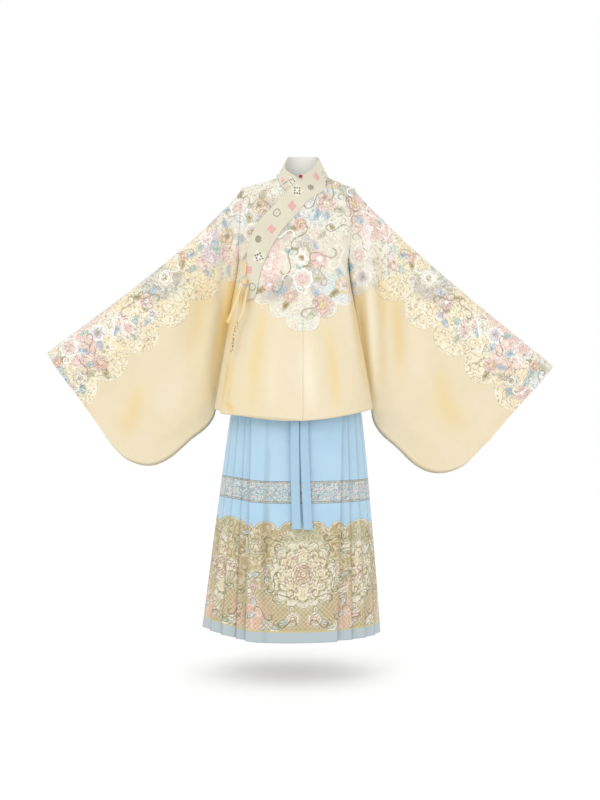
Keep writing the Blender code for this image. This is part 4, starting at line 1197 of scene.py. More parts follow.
class Finish:
    """A material, its shader, and what its pattern is worked out from."""

    def __init__(self, name, constants):
        self.material = bpy.data.materials.new(name)
        self.material.use_nodes = True
        self.tree = self.material.node_tree
        self.shader = self.tree.nodes["Principled BSDF"]
        for key, value in constants.items():
            self.shader.inputs[key].default_value = value

    def node(self, kind, settings, inputs):
        made = self.tree.nodes.new(kind)
        for key, value in settings.items():
            setattr(made, key, value)
        for key, value in inputs.items():
            if isinstance(value, Value):
                value = value.socket
            if isinstance(value, bpy.types.NodeSocket):
                self.tree.links.new(value, made.inputs[key])
            else:
                made.inputs[key].default_value = value
        return made

    def split(self, socket):
        made = self.node("ShaderNodeSeparateXYZ", {}, {0: socket})
        return [Value(self, out) for out in made.outputs]

    def flat(self):
        """The place on the cut, in metres: across and down."""
        made = self.node("ShaderNodeUVMap", {"uv_map": "flat"}, {})
        return self.split(made.outputs[0])[:2], made.outputs[0]

    def place(self):
        return self.node("ShaderNodeTexCoord", {}, {}).outputs["Object"]

    def field(self, name):
        return self.node("ShaderNodeAttribute", {"attribute_name": name}, {})

    def blend(self, base, colour, amount, kind="MIX"):
        """base with colour over it, by amount."""
        made = self.tree.nodes.new("ShaderNodeMix")
        made.data_type, made.blend_type = "RGBA", kind
        for index, value in ((0, amount), (6, base), (7, colour)):
            if isinstance(value, Value):
                value = value.socket
            if isinstance(value, bpy.types.NodeSocket):
                self.tree.links.new(value, made.inputs[index])
            elif index == 0:
                made.inputs[0].default_value = value
            else:
                made.inputs[index].default_value = (*value[:3], 1.0)
        return made.outputs[2]

    def brighten(self, colour, amount):
        settings = {"operation": "SCALE"}
        return self.node("ShaderNodeVectorMath", settings, {0: colour, "Scale": amount}).outputs[0]

    def noise(self, vector, scale, detail=2.0, rough=0.5):
        inputs = {"Vector": vector, "Scale": scale, "Detail": detail, "Roughness": rough}
        return Value(self, self.node("ShaderNodeTexNoise", {}, inputs).outputs[0])

    def cells(self, vector, scale):
        """Distance and colour of the cells of a Voronoi pattern."""
        inputs = {"Vector": vector, "Scale": scale}
        made = self.node("ShaderNodeTexVoronoi", {"voronoi_dimensions": "2D"}, inputs)
        return Value(self, made.outputs["Distance"]), made.outputs["Color"]

    def weave_bump(self, across, down, pitch, distance, extra=None):
        """A satin's fine floats and a few slubs, as relief."""
        floats = (across * (math.tau / pitch) + (down * (math.tau / (5 * pitch))).sine() * 2.0).sine()
        height = floats * 0.5 + (down * (math.tau / (0.7 * pitch))).sine() * 0.3
        if extra is not None:
            height = height + extra
        inputs = {"Height": height, "Strength": 0.35, "Distance": distance}
        bump = self.node("ShaderNodeBump", {}, inputs)
        self.tree.links.new(bump.outputs[0], self.shader.inputs["Normal"])

    def done(self, colour, roughness):
        for key, value in (("Base Color", colour), ("Roughness", roughness)):
            if isinstance(value, Value):
                value = value.socket
            self.tree.links.new(value, self.shader.inputs[key])
        return self.material


def gold_satin(colours):
    """The jacket's satin, with the brocade woven into it."""
    made = Finish(
        "jacket_brocade", {"Specular IOR Level": 0.42, "Sheen Weight": 0.12, "Sheen Roughness": 0.4}
    )
    (u, v), flat = made.flat()
    place = made.place()
    tint = made.field("tint").outputs["Color"]
    outline, dark, light = made.split(made.field("drawn").outputs["Vector"])
    cover, near_dark, near_light = made.split(made.field("near").outputs["Vector"])
    slub = made.noise(place, 46.0, 3.0)
    broad = made.noise(place, 5.0, 2.0)
    grain = (u * (math.tau / 0.0021)).sine() * (v * (math.tau / 0.0034)).sine()

    # Painted shade down in the folds (deep) and painted highlight along the ridges, from the glow attribute.
    deep, painted_highlight, _ = made.split(made.field("glow").outputs["Vector"])
    ground = made.blend(tuple(colours.gold), tuple(colours.gold_deep), broad.within(0.42, 0.72) * 0.30)
    ground = made.blend(ground, tuple(colours.gold_fold_shade), deep * 0.85)
    ground = made.blend(ground, tuple(colours.gold_highlight), painted_highlight * 0.8)
    ground = made.brighten(ground, slub * 0.05 + 0.975)
    sprig_away, sprig_colour = made.cells(flat, 44.0)
    sprig = (sprig_away + (slub - 0.5) * 0.10).line(0.30, 0.06) - sprig_away.line(0.13, 0.04)
    ring = made.cells(flat, 88.0)[0]
    petals = (ring - 0.30).line(0.075, 0.05)
    random = Value(made, made.node("ShaderNodeSeparateColor", {}, {0: sprig_colour}).outputs[0])
    curls = (made.noise(place, 38.0, 2.0) * 40.0).sine()
    where = made.noise(place, 17.0, 1.0)
    across, _, up = made.split(place)
    high = up.within(-0.20, -0.09).most(abs(across).within(0.17, 0.23))

    woven = made.blend(tint, tuple(THREADS["white"]), sprig * random.within(0.30, 0.55) * 0.45)
    woven = made.blend(woven, tuple(THREADS["rose"]), petals * random.within(0.62, 0.80) * 0.30)
    woven = made.blend(woven, tuple(THREADS["steel"]), petals * random.within(0.34, 0.16) * 0.30)
    woven = made.blend(
        woven, tuple(THREADS["white"]), curls.within(0.30, 0.85) * where.within(0.40, 0.56) * 0.46
    )
    woven = made.blend(
        woven, tuple(THREADS["pink"]), curls.within(-0.30, -0.70) * where.within(0.52, 0.40) * 0.42
    )
    woven = made.blend(
        woven, tuple(THREADS["grey"] * 0.8), curls.within(-0.80, -0.97) * (high * 0.46 + 0.18)
    )
    woven = made.blend(woven, tuple(THREADS["olive"] * 0.8), where.line(0.05, 0.05) * high * 0.3)
    woven = made.brighten(woven, grain * 0.035 + 1.0)
    edge = outline.line(0.0008, 0.0007)
    woven = made.blend(woven, tuple(THREADS["olive"] * 0.9), edge * broad.within(0.35, 0.6) * 0.55)
    woven = made.blend(woven, tuple(THREADS["white"]), (outline + 0.0022).line(0.0006, 0.0006) * 0.5)
    woven = made.blend(woven, tuple(THREADS["olive"] * 0.7), dark.line(0.0010, 0.0008) * near_dark * 0.70)
    woven = made.blend(woven, tuple(THREADS["white"]), light.line(0.0014, 0.0010) * near_light * 0.9)
    # The same painted shade and painted highlight, laid over the brocade as well.
    woven = made.blend(woven, tuple(colours.gold_fold_shade), deep * 0.45)
    woven = made.blend(woven, tuple(THREADS["white"]), painted_highlight * 0.55)
    inside = (cover + (slub - 0.5) * 0.3).within(0.42, 0.58)
    colour = made.blend(ground, woven, inside)
    relief = inside * 0.9 + edge * inside * 1.2 + petals * inside * 0.5
    made.weave_bump(u, v, 0.0009, 0.00035, relief)
    roughness = slub * 0.10 + 0.40 - inside * 0.05
    return made.done(colour, roughness)


def cream_satin(colours):
    """The collar band's satin, with its badges."""
    made = Finish("band_brocade", {"Specular IOR Level": 0.40, "Sheen Weight": 0.10})
    (u, v), _ = made.flat()
    place = made.place()
    tint = made.field("tint").outputs["Color"]
    outline = made.split(made.field("drawn").outputs["Vector"])[0]
    cover = made.split(made.field("near").outputs["Vector"])[0]
    slub = made.noise(place, 60.0, 3.0)
    ground = made.blend(
        tuple(colours.cream), tuple(colours.cream_deep), made.noise(place, 9.0).within(0.4, 0.7) * 0.5
    )
    stitch = (u * (math.tau / 0.0036)).sine().within(-0.1, 0.5)
    hem = (v - 0.0018).line(0.0004, 0.0004) * stitch
    ground = made.blend(ground, tuple(THREADS["grey"]), hem * 0.4)
    figure = made.blend(tint, tuple(THREADS["white"]), slub.within(0.55, 0.75) * 0.25)
    figure = made.blend(figure, tuple(THREADS["grey"] * 0.4), outline.line(0.0006, 0.0004) * 0.7)
    inside = cover.within(0.40, 0.60)
    colour = made.brighten(made.blend(ground, figure, inside), slub * 0.08 + 0.96)
    made.weave_bump(u, v, 0.0010, 0.0003, inside * 0.8)
    return made.done(colour, slub * 0.12 + 0.42)


def sky_satin(name, colours, figured):
    """The skirt's satin: plain, or with the knee band and the brocade above the hem."""
    made = Finish(name, {"Specular IOR Level": 0.36, "Sheen Weight": 0.14, "Sheen Roughness": 0.4})
    (u, v), flat = made.flat()
    place = made.place()
    slub = made.noise(place, 52.0, 3.0)
    broad = made.noise(place, 6.0)
    base = tuple(colours.sky if figured else colours.ribbon)
    ground = made.blend(base, tuple(colours.sky_deep), broad.within(0.40, 0.72) * 0.22)
    ground = made.brighten(ground, slub * 0.05 + 0.975)
    if not figured:
        stitch = (v * (math.tau / 0.0034)).sine().within(-0.1, 0.5)
        seam = (abs(u - 0.0125) - 0.0105).line(0.0004, 0.0004)
        colour = made.blend(ground, tuple(colours.sky_deep), seam * stitch * 0.5)
        made.weave_bump(u, v, 0.0009, 0.0003, slub * 0.5)
        return made.done(colour, slub * 0.1 + 0.42)
    tint = made.field("tint").outputs["Color"]
    outline, dark, _ = made.split(made.field("drawn").outputs["Vector"])
    cover, near_dark, _ = made.split(made.field("near").outputs["Vector"])
    pitch = math.pi / 0.0130
    lattice = ((u + v) * pitch).sine().line(0.16, 0.14).most(((u - v) * pitch).sine().line(0.16, 0.14))
    knots = (((u + v) * pitch).sine() * ((u - v) * pitch).sine()).within(0.80, 0.95)
    low = v.within(0.175, 0.120)
    upper = low * -0.85 + 1.0
    woven = made.blend(tint, tuple(THREADS["ivory"]), lattice * (low * 0.76 + 0.06))
    woven = made.blend(woven, tuple(THREADS["olive"] * 0.85), knots * (low * 0.40 + 0.05))
    cell_away, cell_colour = made.cells(flat, 50.0)
    random = Value(made, made.node("ShaderNodeSeparateColor", {}, {0: cell_colour}).outputs[0])
    small = (cell_away + (slub - 0.5) * 0.12)
    petals = (small - 0.26).line(0.06, 0.05)
    high = v.within(0.10, 0.16)
    woven = made.blend(
        woven, tuple(THREADS["ivory"]), small.within(0.36, 0.26) * random.within(0.25, 0.5) * high * 0.6
    )
    woven = made.blend(woven, tuple(THREADS["rose"]), petals * random.within(0.62, 0.82) * 0.5)
    woven = made.blend(woven, tuple(THREADS["olive"] * 0.8), petals * random.within(0.45, 0.2) * 0.45)
    curls = (made.noise(flat, 32.0, 1.0) * 44.0).sine()
    where = made.noise(flat, 14.0, 1.0)
    woven = made.blend(
        woven, tuple(THREADS["ivory"]), curls.within(0.25, 0.80) * where.within(0.38, 0.54) * upper * 0.50
    )
    woven = made.blend(
        woven, tuple(THREADS["blush"]), curls.within(-0.10, -0.5) * where.within(0.50, 0.36) * upper * 0.40
    )
    woven = made.blend(woven, tuple(THREADS["olive"] * 0.7), curls.within(-0.70, -0.92) * upper * 0.66)
    woven = made.blend(woven, tuple(THREADS["tan"]), slub * 0.22 + upper * 0.06 + 0.06)
    woven = made.blend(woven, tuple(THREADS["olive"] * 0.6), outline.line(0.0009, 0.0008) * 0.65)
    woven = made.blend(woven, tuple(THREADS["white"]), (outline + 0.0028).line(0.0009, 0.0008) * 0.55)
    woven = made.blend(woven, tuple(THREADS["olive"] * 0.5), dark.line(0.0011, 0.0008) * near_dark * 0.85)
    inside = (cover + (slub - 0.5) * 0.3).within(0.42, 0.58)
    above = v.within(0.0295, 0.0305)
    ground = made.blend(ground, tuple(colours.hem), v.within(0.034, 0.028) * 0.75)
    colour = made.blend(ground, woven, inside * above)
    colour = made.blend(colour, tuple(THREADS["yellow"] * 0.7), (v - 0.0315).line(0.0016, 0.0004))

    knee = v.within(KNEE_LOW, KNEE_LOW + 0.0006) * v.within(KNEE_HIGH, KNEE_HIGH - 0.0006)
    tile = made.cells(flat, 74.0)
    tile_random = Value(made, made.node("ShaderNodeSeparateColor", {}, {0: tile[1]}).outputs[1])
    vine = (made.noise(flat, 66.0, 1.0) * 34.0).sine()
    band = made.blend(tuple(THREADS["steel"] * 1.03), tuple(THREADS["ivory"]), vine.within(0.05, 0.6) * 0.55)
    band = made.blend(
        band, tuple(THREADS["blush"]), tile[0].within(0.40, 0.22) * tile_random.within(0.45, 0.6) * 0.70
    )
    band = made.blend(band, tuple(THREADS["olive"] * 0.75), vine.within(-0.66, -0.92) * 0.42)
    rims = (v - KNEE_LOW - 0.004).line(0.0008, 0.0005).most((v - KNEE_HIGH + 0.004).line(0.0008, 0.0005))
    outer = (v - KNEE_LOW).line(0.0010, 0.0005).most((v - KNEE_HIGH).line(0.0010, 0.0005))
    band = made.blend(band, tuple(THREADS["olive"] * 0.45), rims * 0.75)
    colour = made.blend(colour, band, knee)
    colour = made.blend(colour, tuple(THREADS["grey"] * 0.55), outer * 0.85)
    # Painted shade: darker down in the pleat valleys, from the glow attribute.
    deep = made.split(made.field("glow").outputs["Vector"])[0]
    colour = made.brighten(colour, deep * -0.50 + 1.0)
    made.weave_bump(u, v, 0.0009, 0.0003, inside * above * 0.9 + knee * 0.7)
    return made.done(colour, slub * 0.1 + 0.46)


def lining_satin(name, colour):
    """A plain satin for the inner face of a sheet."""
    made = Finish(name, {"Specular IOR Level": 0.3})
    (u, v), _ = made.flat()
    slub = made.noise(made.place(), 60.0, 3.0)
    made.weave_bump(u, v, 0.0010, 0.0003, slub * 0.4)
    shaded = tuple(0.9 * part for part in colour)
    return made.done(made.blend(colour, shaded, slub), slub * 0.1 + 0.45)


def tie_satin(colours):
    """The side tie's narrow satin strips, figured towards the end of one tail."""
    made = Finish("tie_strip", {"Specular IOR Level": 0.5, "Sheen Weight": 0.1})
    (u, v), flat = made.flat()
    slub = made.noise(made.place(), 80.0, 3.0)
    ground = made.blend(tuple(colours.tie), tuple(colours.gold_deep), slub.within(0.4, 0.8) * 0.35)
    end = made.split(made.field("near").outputs["Vector"])[0]
    figure = (made.noise(flat, 120.0, 1.0) * 22.0).sine().within(0.1, 0.6)
    colour = made.blend(ground, tuple(THREADS["olive"] * 0.45), figure * end * 0.85)
    colour = made.blend(colour, tuple(colours.gold_deep), (u - 0.0012).line(0.0004, 0.0004) * 0.5)
    made.weave_bump(u, v, 0.0008, 0.0003, figure * end)
    return made.done(colour, slub * 0.15 + 0.34)


def red_cord(colours):
    """Twisted silk cord."""
    made = Finish("silk_cord", {"Sheen Weight": 0.3, "Specular IOR Level": 0.4})
    place = made.place()
    x, y, z = made.split(place)
    twist = ((x + z) * (math.tau / 0.0012) + y * 900.0).sine()
    colour = made.blend(tuple(colours.red), tuple(colours.red_deep), twist.within(-0.2, 0.8) * 0.6)
    made.weave_bump(x, z, 0.0009, 0.0002, twist)
    return made.done(colour, twist * 0.05 + 0.5)


def studio_paper():
    glow = {"Specular IOR Level": 0.0, "Emission Color": (1.0, 1.0, 1.0, 1.0), "Emission Strength": 0.42}
    made = Finish("studio_paper", glow)
    fine = made.noise(made.place(), 3.0, 2.0)
    colour = made.blend((0.62, 0.62, 0.62), (0.60, 0.60, 0.60), fine)
    return made.done(colour, fine * 0.05 + 0.9)


# --- pieces --------------------------------------------------------------------------------------

# What each sheet was cut to: its width and length, its area, how it is held and by what.
CUTS = {
    "body_left": (0.25, 1.45, 0.302, "hung", ()),
    "body_right": (0.30, 1.45, 0.402, "hung", ()),
    "front_overlap": (0.26, 0.68, 0.126, "hung", ("body_left",)),
    "sleeve_left": (0.80, 1.10, 0.576, "hung", ("body_left",)),
    "sleeve_right": (0.78, 1.05, 0.530, "hung", ("body_right",)),
    "collar_band": (0.068, 0.86, 0.055, "stretched", ("body_left", "body_right")),
    "side_tie_strap": (0.010, 0.042, None, "stretched", ("side_tie_knot",)),
    "side_tie_loop": (0.010, 0.092, None, "folded", ("side_tie_knot",)),
    "side_tie_tail_long": (0.010, 0.115, None, "hung", ("side_tie_knot",)),
    "side_tie_tail_figured": (0.010, 0.195, None, "hung", ("side_tie_knot",)),
    "skirt_right": (1.42, 0.955, 1.185, "gathered", ("skirt_waistband",)),
    "skirt_left": (1.42, 0.955, 1.195, "gathered", ("skirt_waistband",)),
    "skirt_waistband": (0.76, 0.062, None, "stretched", ()),
    "skirt_ribbon_right": (0.025, 0.68, None, "hung", ("skirt_waistband",)),
    "skirt_ribbon_left": (0.025, 0.68, None, "hung", ("skirt_waistband",)),
}


def place_sheet(obj, node):
    """Hands a finished sheet to the frame in its node's place."""
    width, length, area, held, rests_on = CUTS[node]
    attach(obj, "root")
    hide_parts(node)
    list(rests_on)
    return obj


def settings():
    scene = bpy.context.scene
    return scene.robe_sizes, scene.robe_colours


def dressing(name, make, *extra):
    """The material of that name, made once."""
    return bpy.data.materials.get(name) or make(*extra)


def trunk_patch(points, side, depth):
    inside = np.array((-0.02, 0.0, -0.35)) + np.zeros_like(points)
    inside[..., 2] = points[..., 2]
    patch = Patch(points, inside)
    x, z = points[..., 0], points[..., 2]
    patch.fields = jacket_fields(points)
    # The glow attribute holds painted shade and painted highlight along the trunk's folds.
    patch.fields["glow"] = painted_fold_light(x, z, side, TRUNK_PAINTED_LIGHT)
    fade = ease((shoulder_line(x) - z + 0.01) / 0.05) * ease((0.245 - np.abs(x + 0.027)) / 0.01)
    patch.push(depth * (crease_relief(x, z, side, TRUNK_CREASES) * fade + ripple(x, z)))
    return patch


def sleeve_patch(hand, depth):
    """A sleeve as a closed row of points at each station, from its seam over the ridge and back."""
    down = spaced((13, 54, 34), (0.0, 0.09, 0.42, 1.0))
    share = spaced((26, 150), (0.0, 0.10, 1.0))[:, None]
    front = sleeve_point(hand, share, down[::-1][None, :] + 0.0 * share, -1)
    back = sleeve_point(hand, share, down[None, 1:-1] + 0.0 * share, 1)
    points = np.concatenate([front, back], axis=1)
    centre = sleeve_point(hand, share, down[None, :] + 0.0 * share, -1)
    behind = sleeve_point(hand, share, down[None, :] + 0.0 * share, 1)
    middle = 0.5 * (centre + behind)
    inside = np.concatenate([middle[:, ::-1], middle[:, 1:-1]], axis=1)
    count = len(down)
    around = arc_lengths(points, 1)
    along = np.broadcast_to(share * 0.95, around.shape)
    patch = Patch(points, inside, loop=True, flat=np.stack([around, along], axis=-1))
    patch.fields = jacket_fields(points)
    x, z = points[..., 0], points[..., 2]
    relief, glow = np.empty(x.shape), np.empty(points.shape)
    # The glow attribute holds painted shade and painted highlight along the sleeve's folds.
    for side, part in ((-1, slice(0, count)), (1, slice(count, None))):
        relief[:, part] = crease_relief(x[:, part], z[:, part], side, SLEEVE_CREASES)
        glow[:, part] = painted_fold_light(x[:, part], z[:, part], side, SLEEVE_PAINTED_LIGHT)
    patch.fields["glow"] = glow
    downs = np.concatenate([down[::-1], down[1:-1]])[None, :]
    fade = ease(share / 0.05) * ease(downs / 0.05) * ease((1.0 - downs) / 0.06) * ease((1.02 - share) / 0.14)
    patch.push(depth * fade * (relief + 1.6 * ripple(x, z)))
    return patch


TOKEN_STEP = 0.045  # between the badges of the collar band, along it
TOKEN_ASIDE = 0.010  # from the band's middle to a badge's, to the one side and the other in turn
TOKEN_KINDS = ("dotted", "square", "ring", "square", "dark")
TOKEN_SIZES = {"dotted": 0.0155, "square": 0.0110, "ring": 0.0115, "dark": 0.0095}


def tokens(weaving):
    """Works badges into the band at even steps, where p runs along it and q out from its middle."""
    everywhere = np.ones(weaving.p.shape, bool)
    for number, p in enumerate(np.arange(0.5 * TOKEN_STEP, np.max(weaving.p), TOKEN_STEP)):
        kind = TOKEN_KINDS[number % len(TOKEN_KINDS)]
        q, size = TOKEN_ASIDE * (1 - number % 2 * 2), TOKEN_SIZES[kind]
        dp, dq = weaving.p - p, weaving.q - q
        far = np.hypot(dp, dq)
        angle = np.arctan2(dq, dp)
        square = np.maximum(np.abs(dp), np.abs(dq)) - size
        round_edge = far - size * (1.0 + 0.05 * np.cos(8 * angle))
        away = square if kind in ("square", "dotted") else round_edge
        weaving.cover = np.maximum(weaving.cover, np.clip(0.5 - away / 0.003, 0.0, 1.0))
        ground = {"square": "rose", "dotted": "ivory", "ring": "ivory", "dark": "sage"}[kind]
        weaving.dye(everywhere, ground, 0.5 - away / 0.0010)
        if kind in ("ring", "dark"):
            weaving.draw(everywhere, away)
            weaving.dye(everywhere, "ink", 0.60 * (0.5 - (np.abs(far - 0.86 * size) - 0.0012) / 0.0008))
            shade = "grey" if kind == "ring" else "ink"
            spokes = np.cos(6 * angle) * (far < 0.66 * size)
            weaving.dye(everywhere, shade, (0.65 if kind == "ring" else 0.9) * ease((spokes - 0.1) / 0.5))
        if kind == "dotted":
            for i in range(-2, 3):
                for j in range(-2, 3):
                    if (i + j) % 2 or abs(i) + abs(j) > 3:
                        continue
                    away = np.hypot(dp - 0.38 * size * i, dq - 0.38 * size * j) - 0.19 * size
                    shade = "ink" if (i, j) != (0, 0) else "white"
                    weaving.dye(everywhere, shade, 0.9 * (0.5 - away / 0.0009))
        if kind == "square":
            weave_lines = np.cos(dp * math.tau / 0.0052) * np.cos(dq * math.tau / 0.0052)
            weaving.dye(everywhere, "blush", 0.5 * ease(weave_lines / 0.5) * (away < -0.001))


class RobeSizes(PropertyGroup):
    cloth: FloatProperty(
        name="Jacket cloth", description="Thickness of the jacket's satin", default=0.0016, unit="LENGTH"
    )
    skirt_cloth: FloatProperty(
        name="Skirt cloth", description="Thickness of the skirt's satin", default=0.0014, unit="LENGTH"
    )
    creases: FloatProperty(
        name="Creases", description="How deep the creases are, as a factor", default=1.0, subtype="FACTOR"
    )
    ribbon: FloatProperty(
        name="Ribbon width", description="Width of the skirt's ribbons", default=0.025, unit="LENGTH"
    )
    tie: FloatProperty(
        name="Tie width", description="Width of the side tie", default=0.010, unit="LENGTH"
    )


def colour_property(name, description, colour):
    return FloatVectorProperty(
        name=name, description=description, default=tuple(colour), size=3, subtype="COLOR", min=0.0, max=1.0
    )


class RobeColours(PropertyGroup):
    gold: colour_property("Gold", "The jacket's satin", linear(233, 219, 187))
    gold_deep: colour_property("Deep gold", "The satin where it turns away", linear(230, 213, 162))
    # Painted shade colour, laid into the satin's folds.
    gold_fold_shade: colour_property("Fold gold", "The satin down in its folds", linear(234, 198, 108))
    # Painted highlight colour, laid along the satin's ridges.
    gold_highlight: colour_property("Bright gold", "The satin along its ridges", linear(246, 237, 212))
    lining: colour_property("Lining", "The inside of the jacket", linear(238, 232, 218))
    cream: colour_property("Cream", "The collar band", linear(221, 215, 194))
    cream_deep: colour_property("Deep cream", "The band's shaded floats", linear(210, 202, 178))
    band_lining: colour_property("Band lining", "The inside of the collar", linear(252, 251, 244))
    sky: colour_property("Sky", "The skirt's satin", linear(178, 210, 230))
    sky_deep: colour_property("Deep sky", "The skirt's shaded floats", linear(150, 188, 214))
    hem: colour_property("Hem", "The plain strip along the hem", linear(182, 188, 184))
    ribbon: colour_property("Ribbon", "The skirt's ribbons", linear(166, 198, 218))
    tie: colour_property("Tie", "The side tie", linear(236, 208, 152))
    red: colour_property("Red", "The collar's knot", linear(186, 40, 44))
    red_deep: colour_property("Deep red", "The knot's shaded strands", linear(110, 14, 20))


class ROBE_OT_body(Operator):
    """Makes the two halves of the jacket's trunk and its outer front"""

    bl_idname = "robe.body"
    bl_label = "Trunk"

    def execute(self, context):
        sizes, colours = settings()
        satin = dressing("jacket_brocade", gold_satin, colours)
        lining = dressing("jacket_lining", lining_satin, "jacket_lining", tuple(colours.lining))
        halves = (
            ("body_left", 1, SEAM, SEAM, no_layer),
            ("body_right", -1, UNDER_REACH, -SEAM, under_layer),
        )
        for name, hand, reach, back_reach, layer in halves:
            front = trunk_patch(panel_rows(-1, hand, reach, layer), -1, sizes.creases)
            back = trunk_patch(panel_rows(1, hand, back_reach, no_layer), 1, sizes.creases)
            half = make_sheet(name + "_cloth", (front, back), satin, sizes.cloth, lining)
            place_sheet(half, name)
        patch = trunk_patch(overlap_rows(), -1, sizes.creases)
        outer = make_sheet("front_overlap_cloth", (patch,), satin, sizes.cloth, lining)
        place_sheet(outer, "front_overlap")
        return {"FINISHED"}


class ROBE_OT_sleeves(Operator):
    """Makes the two wide sleeves"""

    bl_idname = "robe.sleeves"
    bl_label = "Sleeves"

    def execute(self, context):
        sizes, colours = settings()
        satin = dressing("jacket_brocade", gold_satin, colours)
        lining = dressing("jacket_lining", lining_satin, "jacket_lining", tuple(colours.lining))
        for name, hand in (("sleeve_left", 1), ("sleeve_right", -1)):
            patch = sleeve_patch(hand, sizes.creases)
            sleeve = make_sheet(name + "_cloth", (patch,), satin, sizes.cloth, lining)
            place_sheet(sleeve, name)
        return {"FINISHED"}


class ROBE_OT_collar(Operator):
    """Makes the collar band, from its stand round the neck to its end at the side tie"""

    bl_idname = "robe.collar"
    bl_label = "Collar band"

    def execute(self, context):
        sizes, colours = settings()
        shares = spaced((3, 28, 3), (0.0, 0.05, 0.95, 1.0))
        points = band_columns(shares)
        inside = np.zeros_like(points)
        inside[..., 2] = points[..., 2]
        across, along = arc_lengths(points, 1), arc_lengths(points, 0)
        patch = Patch(points, inside, flat=np.stack([along, across], axis=-1))
        middle = np.broadcast_to(along[:, along.shape[1] // 2, None], along.shape)
        weaving = Weaving(middle, across - 0.5 * across[:, -1:], THREADS["cream"])
        tokens(weaving)
        patch.fields = weaving.fields()
        edge = np.minimum(shares, 1.0 - shares)[None, :]
        roll = 0.0007 * ease(edge / 0.08) - 0.0004 * ease((0.05 - np.abs(edge - 0.1)) / 0.05)
        patch.push(roll + 0.5 * ripple(points[..., 0], points[..., 2]))
        satin = dressing("band_brocade", cream_satin, colours)
        lining = dressing("band_lining", lining_satin, "band_lining", tuple(colours.band_lining))
        band = make_sheet("collar_band_cloth", (patch,), satin, sizes.cloth, lining)
        place_sheet(band, "collar_band")
        return {"FINISHED"}


class ROBE_OT_knot(Operator):
    """Makes the small knotted loop that closes the collar"""

    bl_idname = "robe.knot"
    bl_label = "Collar knot"

    def execute(self, context):
        colours = settings()[1]
        low, high = (np.array(corner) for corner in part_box("collar_knot"))
        centre, half = 0.5 * (low + high), 0.5 * (high - low)
        bpy.ops.object.select_all(action="DESELECT")
        strands = []
        for turn, lean in ((0.0, 0.5), (2.1, -0.5), (4.2, 0.1)):
            bpy.ops.mesh.primitive_torus_add(
                major_segments=40,
                minor_segments=12,
                major_radius=0.0028,
                minor_radius=0.0013,
                location=tuple(centre),
                rotation=(math.radians(90) + lean, turn, 0.5 * lean),
            )
            strands.append(bpy.context.object)
        bpy.ops.mesh.primitive_uv_sphere_add(
            segments=24, ring_count=14, radius=0.0028, location=tuple(centre)
        )
        strands.append(bpy.context.object)
        for obj in strands:
            obj.select_set(True)
        bpy.context.view_layer.objects.active = strands[0]
        bpy.ops.object.join()
        knot = bpy.context.object
        knot.name = "collar_knot_cord"
        bpy.ops.object.transform_apply(location=True, rotation=True, scale=True)
        points = np.array([v.co for v in knot.data.vertices]) - centre
        points *= half / np.abs(points).max(axis=0)
        knot.data.vertices.foreach_set("co", (points + centre).reshape(-1))
        bpy.ops.object.shade_smooth()
        knot.data.materials.clear()
        knot.data.materials.append(dressing("silk_cord", red_cord, colours))
        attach(knot, "root")
        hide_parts("collar_knot")
        return {"FINISHED"}


TIE_STRIPS = {
    "side_tie_strap": ((-0.166, -0.232, 0.013), (-0.167, -0.252, 0.012), (-0.168, -0.272, 0.014)),
    "side_tie_loop": (
        (-0.166, -0.305, 0.013),
        (-0.169, -0.332, 0.013),
        (-0.177, -0.352, 0.016),
        (-0.180, -0.338, 0.020),
        (-0.174, -0.305, 0.019),
    ),
    "side_tie_tail_long": (
        (-0.176, -0.302, 0.028),
        (-0.190, -0.340, 0.030),
        (-0.203, -0.376, 0.031),
        (-0.217, -0.406, 0.032),
    ),
    "side_tie_tail_figured": (
        (-0.158, -0.304, 0.017),
        (-0.172, -0.372, 0.027),
        (-0.187, -0.408, 0.026),
        (-0.196, -0.440, 0.026),
        (-0.204, -0.492, 0.027),
    ),
}


